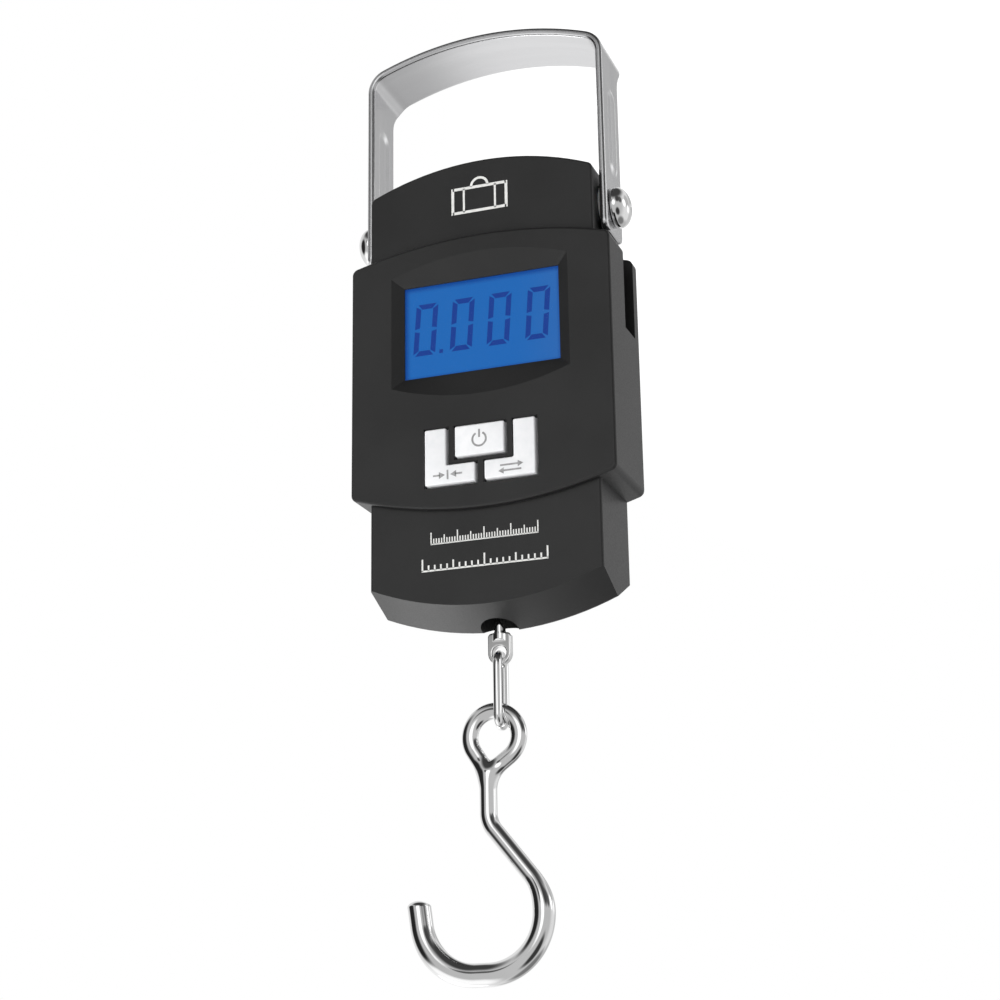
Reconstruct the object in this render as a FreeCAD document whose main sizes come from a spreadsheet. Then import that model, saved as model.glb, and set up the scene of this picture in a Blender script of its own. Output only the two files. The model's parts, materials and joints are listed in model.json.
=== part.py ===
import FreeCAD, Part
import math
import os
import re

import Sketcher
from FreeCAD import Placement, Rotation, Vector

# Digital luggage scale: a flat steel handle folds on two rivets at the neck of a moulded housing.
# A load cell inside hangs from the rivets, and a swivelling stem, a link and a hook hang from it.
# Frame, millimetres: X across, Y from the display side to the back, Z up. The origin is the grip
# point, the inner apex of the handle. The plane Y = 0 holds the handle, the rivets and the stem.

doc = FreeCAD.newDocument("LuggageScale")

# A distance beyond every part, for regions and through cuts.
FAR = 100

DIMENSIONS = {
    # handle strip
    "strip_width": 14.0, "strip_thick": 2.0, "handle_half": 32.5, "arch_radius": 82.7,
    "arch_back": 11.6, "flare_low": -14.5, "flare_top": -4.5,
    "bend_radius": 6.5, "pivot_drop": 51.1, "leg_end_fillet": 2.2, "leg_end": -58.8, "rivet_hole_r": 3.05,
    "rib_half": 2.7, "rib_top": -18.5, "rib_low": -41.5, "rib_height": 0.5,
    # housing outline: half widths, corner heights and the sag of the arched edges
    "depth": 24.5, "front_y": -12.25, "split_y": 10.2, "step": 1.8, "wall": 2.2,
    "wide_half": 34.3, "wide_top": -62.3, "wide_top_sag": 4.7, "wide_low": -123.9, "wide_low_sag": 5.5,
    "neck_half": 29.9, "neck_top": -42.5, "neck_top_sag": 6.3,
    "lower_half": 29.75, "lower_low": -151.7, "lower_low_sag": 5.9,
    "overlap_top": -80.0, "overlap_low": -110.0, "floor_thick": 5.4,
    "front_rise": 4.4, "front_run": 11.0, "back_rise": 5.2, "back_run": 11.2,
    "corner_fillet": 1.8, "front_fillet": 0.7, "back_fillet": 1.0,
    # display
    "window_half": 20.5, "window_top": -68.9, "window_low": -93.6, "funnel_depth": 1.7,
    "funnel_half": 23.5, "funnel_top": -66.4, "funnel_low": -96.2, "funnel_sag": 4.3,
    "lens_half": 22.6, "lens_top": -66.8, "lens_low": -95.7, "lens_front": -10.05, "lens_back": -9.05,
    "lcd_half": 21.9, "lcd_top": -67.2, "lcd_low": -95.3, "lcd_front": -9.0, "lcd_back": -7.0,
    "light_front": -6.95, "light_back": -5.75,
    # circuit board
    "board_half": 22.4, "board_top": -66.0, "board_low": -127.0, "board_front": -5.65, "board_back": -4.55,
    "switch_half": 2.2, "switch_front": -7.65, "plunger_r": 1.0, "plunger_front": -8.25,
    "chip_half": 4.5, "chip_back": -4.1, "chip_z": -102.5,
    # keys
    "key_front": -13.05, "key_back": -9.95, "key_top": -108.5, "key_low": -122.9, "key_gap": 0.5,
    "bar_outer": 14.3, "bar_inner": 8.7, "foot_inner": 1.2, "foot_top": -118.1,
    "middle_half": 6.4, "middle_low": -116.3, "flange_margin": 0.75, "flange_back": -9.15,
    "key_post_r": 1.4, "key_post_back": -8.8, "side_key_x": 11.5, "side_key_z": -115.5,
    "middle_key_z": -112.4, "key_fillet": 0.35,
    # side slots for the shoulders
    "slot_front": -0.2, "slot_back": 8.2, "slot_low": -83.7, "slot_top": -50.0, "slot_depth": 2.4,
    "slot_wall": 1.2,
    # frame, rivets and washers
    "rivet_r": 3.0, "rivet_clear": 0.02, "dome_r": 5.3, "dome_height": 4.2, "dome_base": 32.65,
    "tail_r": 4.4, "tail_thick": 1.2, "washer_r": 6.2, "washer_in": 29.95, "washer_out": 30.4,
    "ear_out": 27.6, "ear_thick": 1.6, "ear_top": -45.6, "ear_half": 6.0, "web_top": -59.0, "web_low": -60.6,
    # load cell
    "cell_half": 12.0, "cell_depth": 4.0, "cell_top": -60.6, "cell_low": -92.0, "cell_hole_r": 3.6,
    "cell_hole_x": 5.5, "cell_hole_z": -71.0, "cell_slot": 0.8, "nut_room_half": 6.0,
    "nut_room_top": -79.0, "nut_room_low": -86.5, "cell_bore_r": 2.08,
    "gauge_thick": 0.3, "gauge_half": 2.5, "gauge_tall": 4.0,
    "cell_screw_x": 8.0, "cell_screw_r": 1.5, "cell_screw_head_r": 2.8, "cell_screw_head": 1.8,
    "cell_screw_length": 6.0,
    # stem, washer and nut
    "stem_r": 2.0, "stem_top": -81.5, "neck_down": -151.0, "stem_low_r": 1.4, "eye_top": -158.2,
    "eye_z": -163.2, "eye_hole_r": 1.75, "eye_half": 2.95, "eye_low": -166.3, "eye_half_thick": 1.0,
    "thrust_r": 4.2, "thrust_thick": 0.8, "nut_r": 3.9, "nut_low": -85.6, "nut_top": -82.4,
    "stem_hole_r": 4.7,
    # link and hook
    "link_bend": 2.6, "link_wire_r": 1.05, "link_top": -163.48, "link_bar": -181.0,
    "ring_x": -1.9, "ring_r": 6.2, "ring_half_plane": 2.05, "ring_half_thick": 1.3, "ring_clear": 0.1,
    "shank_x": -3.6, "shank_top": -192.2, "shank_low": -201.5, "shank_r": 2.1, "shank_bend": 6.5,
    "bowl_x": -4.06, "bowl_z": -225.2, "bowl_r": 13.76, "bowl_flat": 3.03, "tip_lean": 8.0,
    "bowl_right_r": 2.7, "bowl_low_r": 2.8, "bowl_left_r": 3.0, "tip_r": 2.8, "tip_length": 6.1,
    # batteries, cradle and door
    "cell_x": 12.0, "cell_y": 5.0, "aaa_r": 5.25, "aaa_length": 43.5, "aaa_base": -146.4,
    "nub_r": 1.9, "nub_height": 1.0,
    "cradle_half": 19.6, "cradle_front": -2.2, "cradle_back": 10.1,
    "cradle_top": -98.0, "cradle_low": -149.0,
    "pocket_in": 6.2, "pocket_out": 18.2, "pocket_front": -0.7, "pocket_top": -99.4, "pocket_low": -147.9,
    "channel_half": 4.6, "channel_back": 4.6,
    "contact_thick": 0.4, "contact_half": 4.5, "spring_r": 3.0,
    "door_half": 20.8, "door_top": -96.5, "door_low": -147.4, "door_gap": 0.25, "door_front": 10.35,
    "latch_half": 5.0, "latch_r": 4.0, "latch_out": 3.0,
    # housing screws
    "screw_upper_x": 27.6, "screw_upper_z": -90.0, "screw_lower_x": 25.2, "screw_lower_z": -142.0,
    "boss_r": 3.0, "screw_r": 1.0, "screw_tip": -2.0, "screw_head_r": 2.1, "screw_head_low": 10.9,
    "screw_head_back": 12.0, "screw_well_r": 2.4, "cross_half": 1.2, "cross_blade": 0.25, "cross_deep": 0.6,
    # wires
    "wire_r": 0.55, "wire_bend": 1.6, "lead_x": 16.5, "gauge_lead_z": -73.0, "lead_low_z": -94.5,
    "battery_lead_y": 3.0, "battery_lead_z": -95.0,
}

sheet = doc.addObject("Spreadsheet::Sheet", "Dimensions")
for row, (alias, size) in enumerate(DIMENSIONS.items(), start=1):
    sheet.set(f"A{row}", alias)
    sheet.set(f"B{row}", str(size))
    sheet.setAlias(f"B{row}", alias)
doc.recompute()


def expand(formula):
    """A formula written with bare aliases, as an expression on the sheet."""
    return re.sub(r"[a-z][a-z0-9_]*", lambda word: "Dimensions." + word[0] if word[0] in DIMENSIONS
                  else word[0], str(formula))


def value(formula):
    """The number that a formula gives now."""
    return float(sheet.evalExpression(expand(formula)))


def bind(thing, path, formula):
    thing.setExpression(path, expand(formula))


def add(kind, name):
    return doc.addObject(kind, name)


# ---- Part primitives and booleans -------------------------------------------------------------

def box(name, x, y, z):
    """A box from three (low, high) pairs of formulas."""
    part = add("Part::Box", name)
    for axis, size, (low, high) in zip("xyz", ("Length", "Width", "Height"), (x, y, z)):
        bind(part, size, f"({high}) - ({low})")
        bind(part, f"Placement.Base.{axis}", low)
    return part


AXIS_TURN = {"x": Rotation(Vector(0, 1, 0), 90), "y": Rotation(Vector(1, 0, 0), -90), "z": Rotation()}


def place(part, axis, low, centre):
    """Stands a round primitive on its axis: low end, and centre on the other two axes in order."""
    part.Placement = Placement(Vector(), AXIS_TURN[axis])
    others = [name for name in "xyz" if name != axis]
    bind(part, f"Placement.Base.{axis}", low)
    for name, where in zip(others, centre):
        bind(part, f"Placement.Base.{name}", where)


def cylinder(name, axis, radius, span, centre=("0", "0")):
    part = add("Part::Cylinder", name)
    bind(part, "Radius", radius)
    bind(part, "Height", f"({span[1]}) - ({span[0]})")
    place(part, axis, span[0], centre)
    return part


def fuse(name, *pieces):
    part = add("Part::MultiFuse", name)
    part.Shapes = list(pieces)
    return part


def cut(name, base, *tools):
    part = add("Part::Cut", name)
    part.Base = base
    part.Tool = tools[0] if len(tools) == 1 else fuse(name + "_tools", *tools)
    return part


def common(name, base, tool):
    part = add("Part::Common", name)
    part.Base = base
    part.Tool = tool
    return part


def group(name, *pieces):
    part = add("Part::Compound", name)
    part.Links = list(pieces)
    return part


# ---- PartDesign helpers -----------------------------------------------------------------------

def new_body(name):
    return add("PartDesign::Body", name)


def new_sketch(body, name, plane, offset):
    """A sketch on one of the body's own planes; offset is the plane's place along its axis."""
    sketch = body.newObject("Sketcher::SketchObject", name)
    origin_plane = next(item for item in body.Origin.OriginFeatures if item.Role == plane)
    sketch.AttachmentSupport = [(origin_plane, "")]
    sketch.MapMode = "FlatFace"
    sign = "-" if plane == "XZ_Plane" else ""
    bind(sketch, "AttachmentOffset.Base.z", f"{sign}({offset})")
    return sketch


def hold(sketch, kind, *where, formula):
    """A dimension constraint bound to a formula."""
    index = sketch.addConstraint(Sketcher.Constraint(kind, *where, value(formula)))
    sketch.renameConstraint(index, f"held{index}")
    bind(sketch, f"Constraints.held{index}", formula)


def outline(sketch, corners, bends=None):
    """A closed outline. bends maps a side's number to (radius, +1 for an arc left of its chord)."""
    bends = bends or {}
    points = [Vector(value(x), value(y), 0) for x, y in corners]
    ends = []
    for side, start in enumerate(points):
        finish = points[(side + 1) % len(points)]
        if side not in bends:
            index = sketch.addGeometry(Part.LineSegment(start, finish), False)
            ends.append((index, 1, 2))
            continue
        radius, turn = bends[side]
        chord = finish - start
        half = chord.Length / 2
        sag = value(radius) - math.sqrt(value(radius) ** 2 - half ** 2)
        left = Vector(-chord.y, chord.x, 0).normalize()
        middle = (start + finish) * 0.5 + left * (sag * turn)
        index = sketch.addGeometry(Part.Arc(start, middle, finish), False)
        ends.append((index, 1, 2) if turn < 0 else (index, 2, 1))
    for side, (index, first, last) in enumerate(ends):
        following, its_first, _ = ends[(side + 1) % len(ends)]
        sketch.addConstraint(Sketcher.Constraint("Coincident", index, last, following, its_first))
        hold(sketch, "DistanceX", -1, 1, index, first, formula=corners[side][0])
        hold(sketch, "DistanceY", -1, 1, index, first, formula=corners[side][1])
        if side in bends:
            hold(sketch, "Radius", index, formula=bends[side][0])


def circle(sketch, x, y, radius):
    centre = Vector(value(x), value(y), 0)
    index = sketch.addGeometry(Part.Circle(centre, Vector(0, 0, 1), value(radius)), False)
    hold(sketch, "DistanceX", -1, 1, index, 3, formula=x)
    hold(sketch, "DistanceY", -1, 1, index, 3, formula=y)
    hold(sketch, "Radius", index, formula=radius)


def arc_radius(half, sag):
    return f"(({half})^2 + ({sag})^2) / (2 * ({sag}))"


def pad(body, sketch, length, reverse):
    feature = body.newObject("PartDesign::Pad", sketch.Name + "Pad")
    feature.Profile = sketch
    feature.Reversed = reverse
    bind(feature, "Length", length)
    body.Tip = feature
    return feature


def pocket(body, sketch, length=None, reverse=False):
    """A pocket of a length, or through everything on both sides; it must take something away."""
    before = body.Tip
    feature = body.newObject("PartDesign::Pocket", sketch.Name + "Pocket")
    feature.Profile = sketch
    if length is None:
        feature.Type = "ThroughAll"
        feature.Midplane = True
    else:
        feature.Reversed = reverse
        bind(feature, "Length", length)
    body.Tip = feature
    doc.recompute()
    if feature.Shape.Volume > before.Shape.Volume - 0.01:
        raise RuntimeError(f"{feature.Name} takes nothing away")
    return feature


def edges_where(feature, test):
    """The names of the feature's edges whose every sampled point passes the test."""
    doc.recompute()
    names = []
    for number, edge in enumerate(feature.Shape.Edges, start=1):
        samples = [edge.valueAt(edge.FirstParameter + (edge.LastParameter - edge.FirstParameter) * part / 4)
                   for part in range(5)]
        if all(test(point) for point in samples):
            names.append(f"Edge{number}")
    return names


def round_edges(body, radius, test):
    base = body.Tip
    names = edges_where(base, test)
    feature = body.newObject("PartDesign::Fillet", body.Name + "Fillet")
    feature.Base = (base, names)
    bind(feature, "Radius", radius)
    body.Tip = feature


def near(first, second, within=0.02):
    return abs(first - second) < within


# ---- Housing form: three blocks with arched edges ---------------------------------------------

def barrel(body, name, half, low, low_sag, top, top_sag, front, length):
    """A block with an arched bottom edge and an arched top edge, padded towards the back."""
    sketch = new_sketch(body, name, "XZ_Plane", front)
    corners = [(f"-({half})", low), (half, low), (half, top), (f"-({half})", top)]
    outline(sketch, corners, {0: (arc_radius(half, low_sag), -1), 2: (arc_radius(half, top_sag), -1)})
    return pad(body, sketch, length, reverse=True)


def housing_block(name, inset, floor, front, length, rounded):
    """The wide middle, the neck and the lower part as one solid, with its walls moved in by inset."""
    body = new_body(name)
    blocks = {
        "Wide": (f"wide_half - {inset}", f"wide_low + {inset}", "wide_low_sag",
                 f"wide_top - {inset}", "wide_top_sag", front, length),
        "Neck": (f"neck_half - {inset}", "overlap_top", "wide_top_sag",
                 f"neck_top - {inset}", "neck_top_sag", f"{front} + step", f"{length} - step"),
        "Lower": (f"lower_half - {inset}", f"lower_low + {floor}", "lower_low_sag",
                  "overlap_low", "wide_low_sag", f"{front} + step", f"{length} - step"),
    }
    for block, sizes in blocks.items():
        barrel(body, name + block, *sizes)
        if rounded:
            round_block(body, block, value(sizes[0]), value(sizes[5]))
    return body


def round_block(body, block, half, front):
    """Rounds the corners that a block shows from the front, then its front edge."""
    heights = {"Wide": ("wide_top", "wide_low"), "Neck": ("neck_top",), "Lower": ()}[block]
    levels = [value(height) for height in heights]
    if not levels:
        return
    round_edges(body, "corner_fillet", lambda point: near(abs(point.x), half)
                and any(near(point.z, level) for level in levels))
    lowest = value("wide_top") + 0.5 if block == "Neck" else -2 * FAR
    round_edges(body, "front_fillet", lambda point: near(point.y, front) and point.z > lowest)


form = housing_block("HousingForm", "0", "0", "front_y", "depth", rounded=True)
stepped_front = value("front_y + step")
back = value("front_y + depth")


def slope_bottom(name, edge_y, rise, run, flip):
    """Slopes the bottom from the keel near the stem up to the front or the back.
    flip swaps the two faces on which the rise and the run are measured."""
    flat = form.Tip
    lowest = value("lower_low") + 0.01
    slope = form.newObject("PartDesign::Chamfer", name)
    slope.Base = (flat, edges_where(flat, lambda point: point.z < lowest and near(point.y, edge_y)))
    slope.ChamferType = "Two distances"
    slope.FlipDirection = flip
    bind(slope, "Size", rise)
    bind(slope, "Size2", run)
    form.Tip = slope
    doc.recompute()


slope_bottom("FrontSlope", stepped_front, "front_rise", "front_run", flip=False)
slope_bottom("BackSlope", back, "back_rise", "back_run", flip=True)
round_edges(form, "front_fillet", lambda point: near(point.y, stepped_front)
            and point.z < value("wide_low") + 5 and near(abs(point.x), value("lower_half")))
round_edges(form, "back_fillet", lambda point: near(point.y, back))

hollow = housing_block("HousingHollow", "wall", "floor_thick", "front_y + wall",
                       "split_y - front_y - wall", rounded=False)


# ---- Front cover ------------------------------------------------------------------------------

def display_funnel():
    """The recess that narrows from the front face to the window."""
    body = new_body("DisplayFunnel")
    outer = new_sketch(body, "FunnelMouth", "XZ_Plane", "front_y - 0.05")
    outline(outer, [("-funnel_half", "funnel_low"), ("funnel_half", "funnel_low"),
                    ("funnel_half", "funnel_top"), ("-funnel_half", "funnel_top")],
            {0: (arc_radius("funnel_half", "funnel_sag"), -1),
             2: (arc_radius("funnel_half", "funnel_sag"), -1)})
    inner = new_sketch(body, "FunnelFloor", "XZ_Plane", "front_y + funnel_depth")
    outline(inner, [("-window_half", "window_low"), ("window_half", "window_low"),
                    ("window_half", "window_top"), ("-window_half", "window_top")])
    loft = body.newObject("PartDesign::AdditiveLoft", "FunnelLoft")
    loft.Profile = outer
    loft.Sections = [inner]
    loft.Ruled = True
    body.Tip = loft
    return body


def key_outlines(side):
    """The corners of a side key's L, on the right for side = 1 and mirrored for -1."""
    mirror = "" if side > 0 else "-"
    corners = [("bar_outer", "key_low"), ("bar_outer", "key_top"), ("bar_inner", "key_top"),
               ("bar_inner", "foot_top"), ("foot_inner", "foot_top"), ("foot_inner", "key_low")]
    grow = [(1, -1), (1, 1), (-1, 1), (-1, 1), (-1, 1), (-1, -1)]
    return [(x, z, dx, dz, mirror) for (x, z), (dx, dz) in zip(corners, grow)]


def key_shape(name, side, margin, front, length):
    """A key's outline grown by margin, padded backwards: side 0 is the middle key."""
    body = new_body(name)
    sketch = new_sketch(body, name + "Outline", "XZ_Plane", front)
    if side == 0:
        corners = [(f"-(middle_half + {margin})", f"middle_low - {margin}"),
                   (f"middle_half + {margin}", f"middle_low - {margin}"),
                   (f"middle_half + {margin}", f"key_top + {margin}"),
                   (f"-(middle_half + {margin})", f"key_top + {margin}")]
    else:
        corners = [(f"{mirror}({x} + ({dx}) * {margin})", f"{z} + ({dz}) * {margin}")
                   for x, z, dx, dz, mirror in key_outlines(side)]
    outline(sketch, corners)
    pad(body, sketch, length, reverse=True)
    return body


SIDES = ("Right", "Left")


def mirrored_span(side, low, high):
    return (low, high) if side == "Right" else (f"-({high})", f"-({low})")


pivot = ("0", "-pivot_drop")
KEYS = {"power_button": 0, "tare_button": -1, "unit_button": 1}
SCREW_PLACES = [(f"{sign}{x}", z) for sign in ("", "-")
                for x, z in (("screw_upper_x", "screw_upper_z"), ("screw_lower_x", "screw_lower_z"))]

liners = [box(f"SlotLiner{side}", mirrored_span(side, "wide_half - slot_depth - slot_wall", "wide_half"),
              ("slot_front - slot_wall", "slot_back + slot_wall"), ("slot_low - slot_wall", "slot_top"))
          for side in SIDES]
room = cut("HousingRoom", hollow, *liners)
front_region = box("FrontRegion", (-FAR, FAR), (-FAR, "split_y"), (-2 * FAR, FAR))
front_shell = cut("FrontShell", common("FrontSolid", form, front_region), room)
boss_fronts = {"screw_upper_z": "front_y + wall / 2", "screw_lower_z": "front_y + step + wall / 2"}
bosses = [cylinder(f"Boss{number}", "y", "boss_r", (boss_fronts[place_xz[1]], "split_y"), place_xz)
          for number, place_xz in enumerate(SCREW_PLACES)]
pilots = [cylinder(f"Pilot{number}", "y", "screw_r", ("screw_tip - 1", "split_y + 1"), place_xz)
          for number, place_xz in enumerate(SCREW_PLACES)]
slots = [box(f"Slot{side}", mirrored_span(side, "wide_half - slot_depth", FAR), ("slot_front", "slot_back"),
             ("slot_low", "slot_top")) for side in SIDES]
window_opening = box("WindowOpening", ("-window_half", "window_half"), ("front_y", "lens_front + 1"),
                     ("window_low", "window_top"))
key_openings = [key_shape(f"Opening_{name}", side, "key_gap", "front_y - 3", "wall + 3.5")
                for name, side in KEYS.items()]
rivet_bore = cylinder("RivetBore", "x", "rivet_r + rivet_clear", (-FAR, FAR), pivot)
stem_hole = cylinder("StemHole", "z", "stem_hole_r", (-2 * FAR, "lower_low + floor_thick + 1"))
front_cover = cut("front_cover", fuse("FrontWithBosses", front_shell, *bosses), *pilots, *slots,
                  display_funnel(), window_opening, *key_openings, rivet_bore, stem_hole)

# ---- Rear cover, battery door and housing screws ----------------------------------------------

rear_region = box("RearRegion", (-FAR, FAR), ("split_y", FAR), (-2 * FAR, FAR))
door_opening = box("DoorOpening", ("-door_half - door_gap", "door_half + door_gap"), ("split_y - 1", FAR),
                   ("door_low - door_gap", "door_top + door_gap"))
screw_wells = [cylinder(f"Well{number}", "y", "screw_well_r", ("screw_head_low", FAR), place_xz)
               for number, place_xz in enumerate(SCREW_PLACES)]
screw_passes = [cylinder(f"Pass{number}", "y", "screw_r + 0.1", ("split_y - 1", FAR), place_xz)
                for number, place_xz in enumerate(SCREW_PLACES)]
rear_cover = cut("rear_cover", common("RearSolid", form, rear_region), door_opening,
                 *screw_wells, *screw_passes)

door_plate = box("DoorPlate", ("-door_half", "door_half"), ("door_front", "front_y + depth - 0.15"),
                 ("door_low", "door_top"))
finger_notch = cylinder("FingerNotch", "x", "latch_r", ("-latch_half", "latch_half"),
                        ("front_y + depth + latch_out", "door_top - latch_r"))
battery_door = cut("battery_door", door_plate, finger_notch)


def housing_screw(number, place_xz):
    shank = cylinder(f"ScrewShank{number}", "y", "screw_r", ("screw_tip", "screw_head_low"), place_xz)
    head = cylinder(f"ScrewHead{number}", "y", "screw_head_r", ("screw_head_low", "screw_head_back"),
                    place_xz)
    x, z = place_xz
    cross = [box(f"Recess{number}{axis}", (f"{x} - {wide}", f"{x} + {wide}"),
                 ("screw_head_back - cross_deep", FAR), (f"{z} - {tall}", f"{z} + {tall}"))
             for axis, wide, tall in (("X", "cross_half", "cross_blade"),
                                      ("Z", "cross_blade", "cross_half"))]
    return cut(f"Screw{number}", fuse(f"ScrewBlank{number}", shank, head), *cross)


housing_screws = group("housing_screws", *[housing_screw(number, place_xz)
                                           for number, place_xz in enumerate(SCREW_PLACES)])

# ---- Display ----------------------------------------------------------------------------------

display_window = box("display_window", ("-lens_half", "lens_half"), ("lens_front", "lens_back"),
                     ("lens_low", "lens_top"))
lcd_panel = box("lcd_panel", ("-lcd_half", "lcd_half"), ("lcd_front", "lcd_back"), ("lcd_low", "lcd_top"))
backlight = box("backlight", ("-lcd_half", "lcd_half"), ("light_front", "light_back"),
                ("lcd_low", "lcd_top"))

# ---- Circuit board and its parts --------------------------------------------------------------

circuit_board = box("circuit_board", ("-board_half", "board_half"), ("board_front", "board_back"),
                    ("board_low", "board_top"))
KEY_CENTRES = {"power_button": ("0", "middle_key_z"), "tare_button": ("-side_key_x", "side_key_z"),
               "unit_button": ("side_key_x", "side_key_z")}


def tact_switch(name, centre):
    x, z = centre
    base = box(f"SwitchBase_{name}", (f"{x} - switch_half", f"{x} + switch_half"),
               ("switch_front", "board_front"), (f"{z} - switch_half", f"{z} + switch_half"))
    plunger = cylinder(f"Plunger_{name}", "y", "plunger_r", ("plunger_front", "switch_front"), centre)
    return fuse(f"Switch_{name}", base, plunger)


tact_switches = group("tact_switches", *[tact_switch(name, centre)
                                         for name, centre in KEY_CENTRES.items()])
controller_chip = box("controller_chip", ("-chip_half", "chip_half"), ("board_back", "chip_back"),
                      ("chip_z - chip_half", "chip_z + chip_half"))

# ---- Keys -------------------------------------------------------------------------------------

for name, side in KEYS.items():
    cap = key_shape(f"Cap_{name}", side, "0", "key_front", "key_back - key_front")
    cap_front = value("key_front")
    round_edges(cap, "key_fillet", lambda point: near(point.y, cap_front))
    flange = key_shape(f"Flange_{name}", side, "flange_margin", "key_back", "flange_back - key_back")
    post = cylinder(f"Post_{name}", "y", "key_post_r", ("flange_back", "key_post_back"), KEY_CENTRES[name])
    fuse(name, cap, flange, post)

# ---- Rivets, washers and load frame -----------------------------------------------------------

def dome(side):
    """A cap of a sphere that stands on the outer end of a rivet's shank."""
    ball = add("Part::Sphere", f"Ball{side}")
    radius = "((dome_r^2 + dome_height^2) / (2 * dome_height))"
    bind(ball, "Radius", radius)
    direction = 1 if side == "Right" else -1
    bind(ball, "Placement.Base.x", f"{direction} * (dome_base + dome_height - {radius})")
    bind(ball, "Placement.Base.z", "-pivot_drop")
    span = ("dome_base", FAR) if direction > 0 else (-FAR, "-dome_base")
    return common(f"Dome{side}", ball, box(f"DomeRegion{side}", span, (-FAR, FAR), (-2 * FAR, FAR)))


def rivet(side):
    shank = cylinder(f"RivetShank{side}", "x", "rivet_r",
                     mirrored_span(side, "ear_out - ear_thick - tail_thick", "dome_base + 0.5"), pivot)
    tail = cylinder(f"RivetTail{side}", "x", "tail_r",
                    mirrored_span(side, "ear_out - ear_thick - tail_thick", "ear_out - ear_thick"), pivot)
    return fuse(f"Rivet{side}", dome(side), shank, tail)


pivot_rivets = group("pivot_rivets", *[rivet(side) for side in SIDES])
pivot_washers = group("pivot_washers", *[
    cut(f"Washer{side}",
        cylinder(f"WasherDisc{side}", "x", "washer_r",
                 mirrored_span(side, "washer_in", "washer_out"), pivot),
        cylinder(f"WasherHole{side}", "x", "rivet_r + rivet_clear", (-FAR, FAR), pivot)) for side in SIDES])

ears = [box(f"Ear{side}", mirrored_span(side, "ear_out - ear_thick", "ear_out"), ("-ear_half", "ear_half"),
            ("web_low", "ear_top")) for side in SIDES]
web = box("Web", ("-ear_out", "ear_out"), ("-ear_half", "ear_half"), ("web_low", "web_top"))
cell_screw_places = [("cell_screw_x", "0"), ("-cell_screw_x", "0")]
web_holes = [cylinder(f"WebHole{number}", "z", "cell_screw_r + 0.1", ("web_low - 1", "web_top + 1"), spot)
             for number, spot in enumerate(cell_screw_places)]
load_frame = cut("load_frame", fuse("FrameBlank", *ears, web),
                 cylinder("EarBore", "x", "rivet_r + rivet_clear", (-FAR, FAR), pivot), *web_holes)

# ---- Load cell, gauges and screws -------------------------------------------------------------

cell_block = box("CellBlock", ("-cell_half", "cell_half"), ("-cell_depth", "cell_depth"),
                 ("cell_low", "cell_top"))
cell_holes = [cylinder(f"CellHole{side}", "y", "cell_hole_r", (-FAR, FAR), (x, "cell_hole_z"))
              for side, x in zip(SIDES, ("cell_hole_x", "-cell_hole_x"))]
cell_slit = box("CellSlit", ("-cell_hole_x", "cell_hole_x"), (-FAR, FAR),
                ("cell_hole_z - cell_slot / 2", "cell_hole_z + cell_slot / 2"))
nut_room = box("NutRoom", ("-nut_room_half", "nut_room_half"), (-FAR, FAR), ("nut_room_low", "nut_room_top"))
cell_bore = cylinder("CellBore", "z", "cell_bore_r", (-2 * FAR, "nut_room_low + 1"))
cell_taps = [cylinder(f"CellTap{number}", "z", "cell_screw_r", ("web_top - cell_screw_length", FAR), spot)
             for number, spot in enumerate(cell_screw_places)]
load_cell = cut("load_cell", cell_block, *cell_holes, cell_slit, nut_room, cell_bore, *cell_taps)
strain_gauges = group("strain_gauges", *[
    box(f"Gauge{side}", mirrored_span(side, "cell_half", "cell_half + gauge_thick"),
        ("-gauge_half", "gauge_half"), ("cell_hole_z - gauge_tall", "cell_hole_z + gauge_tall"))
    for side in SIDES])
load_cell_screws = group("load_cell_screws", *[
    fuse(f"CellScrew{number}",
         cylinder(f"CellScrewHead{number}", "z", "cell_screw_head_r",
                  ("web_top", "web_top + cell_screw_head"), spot),
         cylinder(f"CellScrewShank{number}", "z", "cell_screw_r",
                  ("web_top - cell_screw_length", "web_top"), spot))
    for number, spot in enumerate(cell_screw_places)])

# ---- Stem with its nut and thrust washer ------------------------------------------------------

thrust_washer = cut("thrust_washer",
                    cylinder("ThrustDisc", "z", "thrust_r", ("nut_room_low", "nut_room_low + thrust_thick")),
                    cylinder("ThrustHole", "z", "cell_bore_r", ("nut_room_low - 1", "nut_room_top")))


def hexagon_prism(name, across_half, span):
    prism = add("Part::Prism", name)
    prism.Polygon = 6
    bind(prism, "Circumradius", across_half)
    bind(prism, "Height", f"({span[1]}) - ({span[0]})")
    bind(prism, "Placement.Base.z", span[0])
    return prism


stem_nut = cut("stem_nut", hexagon_prism("NutHexagon", "nut_r", ("nut_low", "nut_top")),
               cylinder("NutBore", "z", "stem_r", ("nut_low - 1", "nut_top + 1")))


def eye_plate():
    """The flattened end of the stem, with rounded lower corners and a hole for the link."""
    body = new_body("EyePlate")
    sketch = new_sketch(body, "EyeOutline", "XZ_Plane", "-eye_half_thick")
    outline(sketch, [("-eye_half", "eye_top"), ("-eye_half", "eye_z"), ("eye_half", "eye_z"),
                     ("eye_half", "eye_top")], {1: (arc_radius("eye_half", "eye_z - eye_low - 0.2"), -1)})
    pad(body, sketch, "2 * eye_half_thick", reverse=True)
    hole = new_sketch(body, "EyeHole", "XZ_Plane", "0")
    circle(hole, "0", "eye_z", "eye_hole_r")
    pocket(body, hole)
    return body


stem_upper = cylinder("StemUpper", "z", "stem_r", ("neck_down", "stem_top"))
stem_lower = cylinder("StemLower", "z", "stem_low_r", ("eye_top - 0.3", "neck_down"))
swivel_stem = fuse("swivel_stem", stem_upper, stem_lower, eye_plate())

# ---- Link -------------------------------------------------------------------------------------

LINK_TOP_CENTRE = "link_top - link_bend"
LINK_LOW_CENTRE = "link_bar + link_bend"


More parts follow.
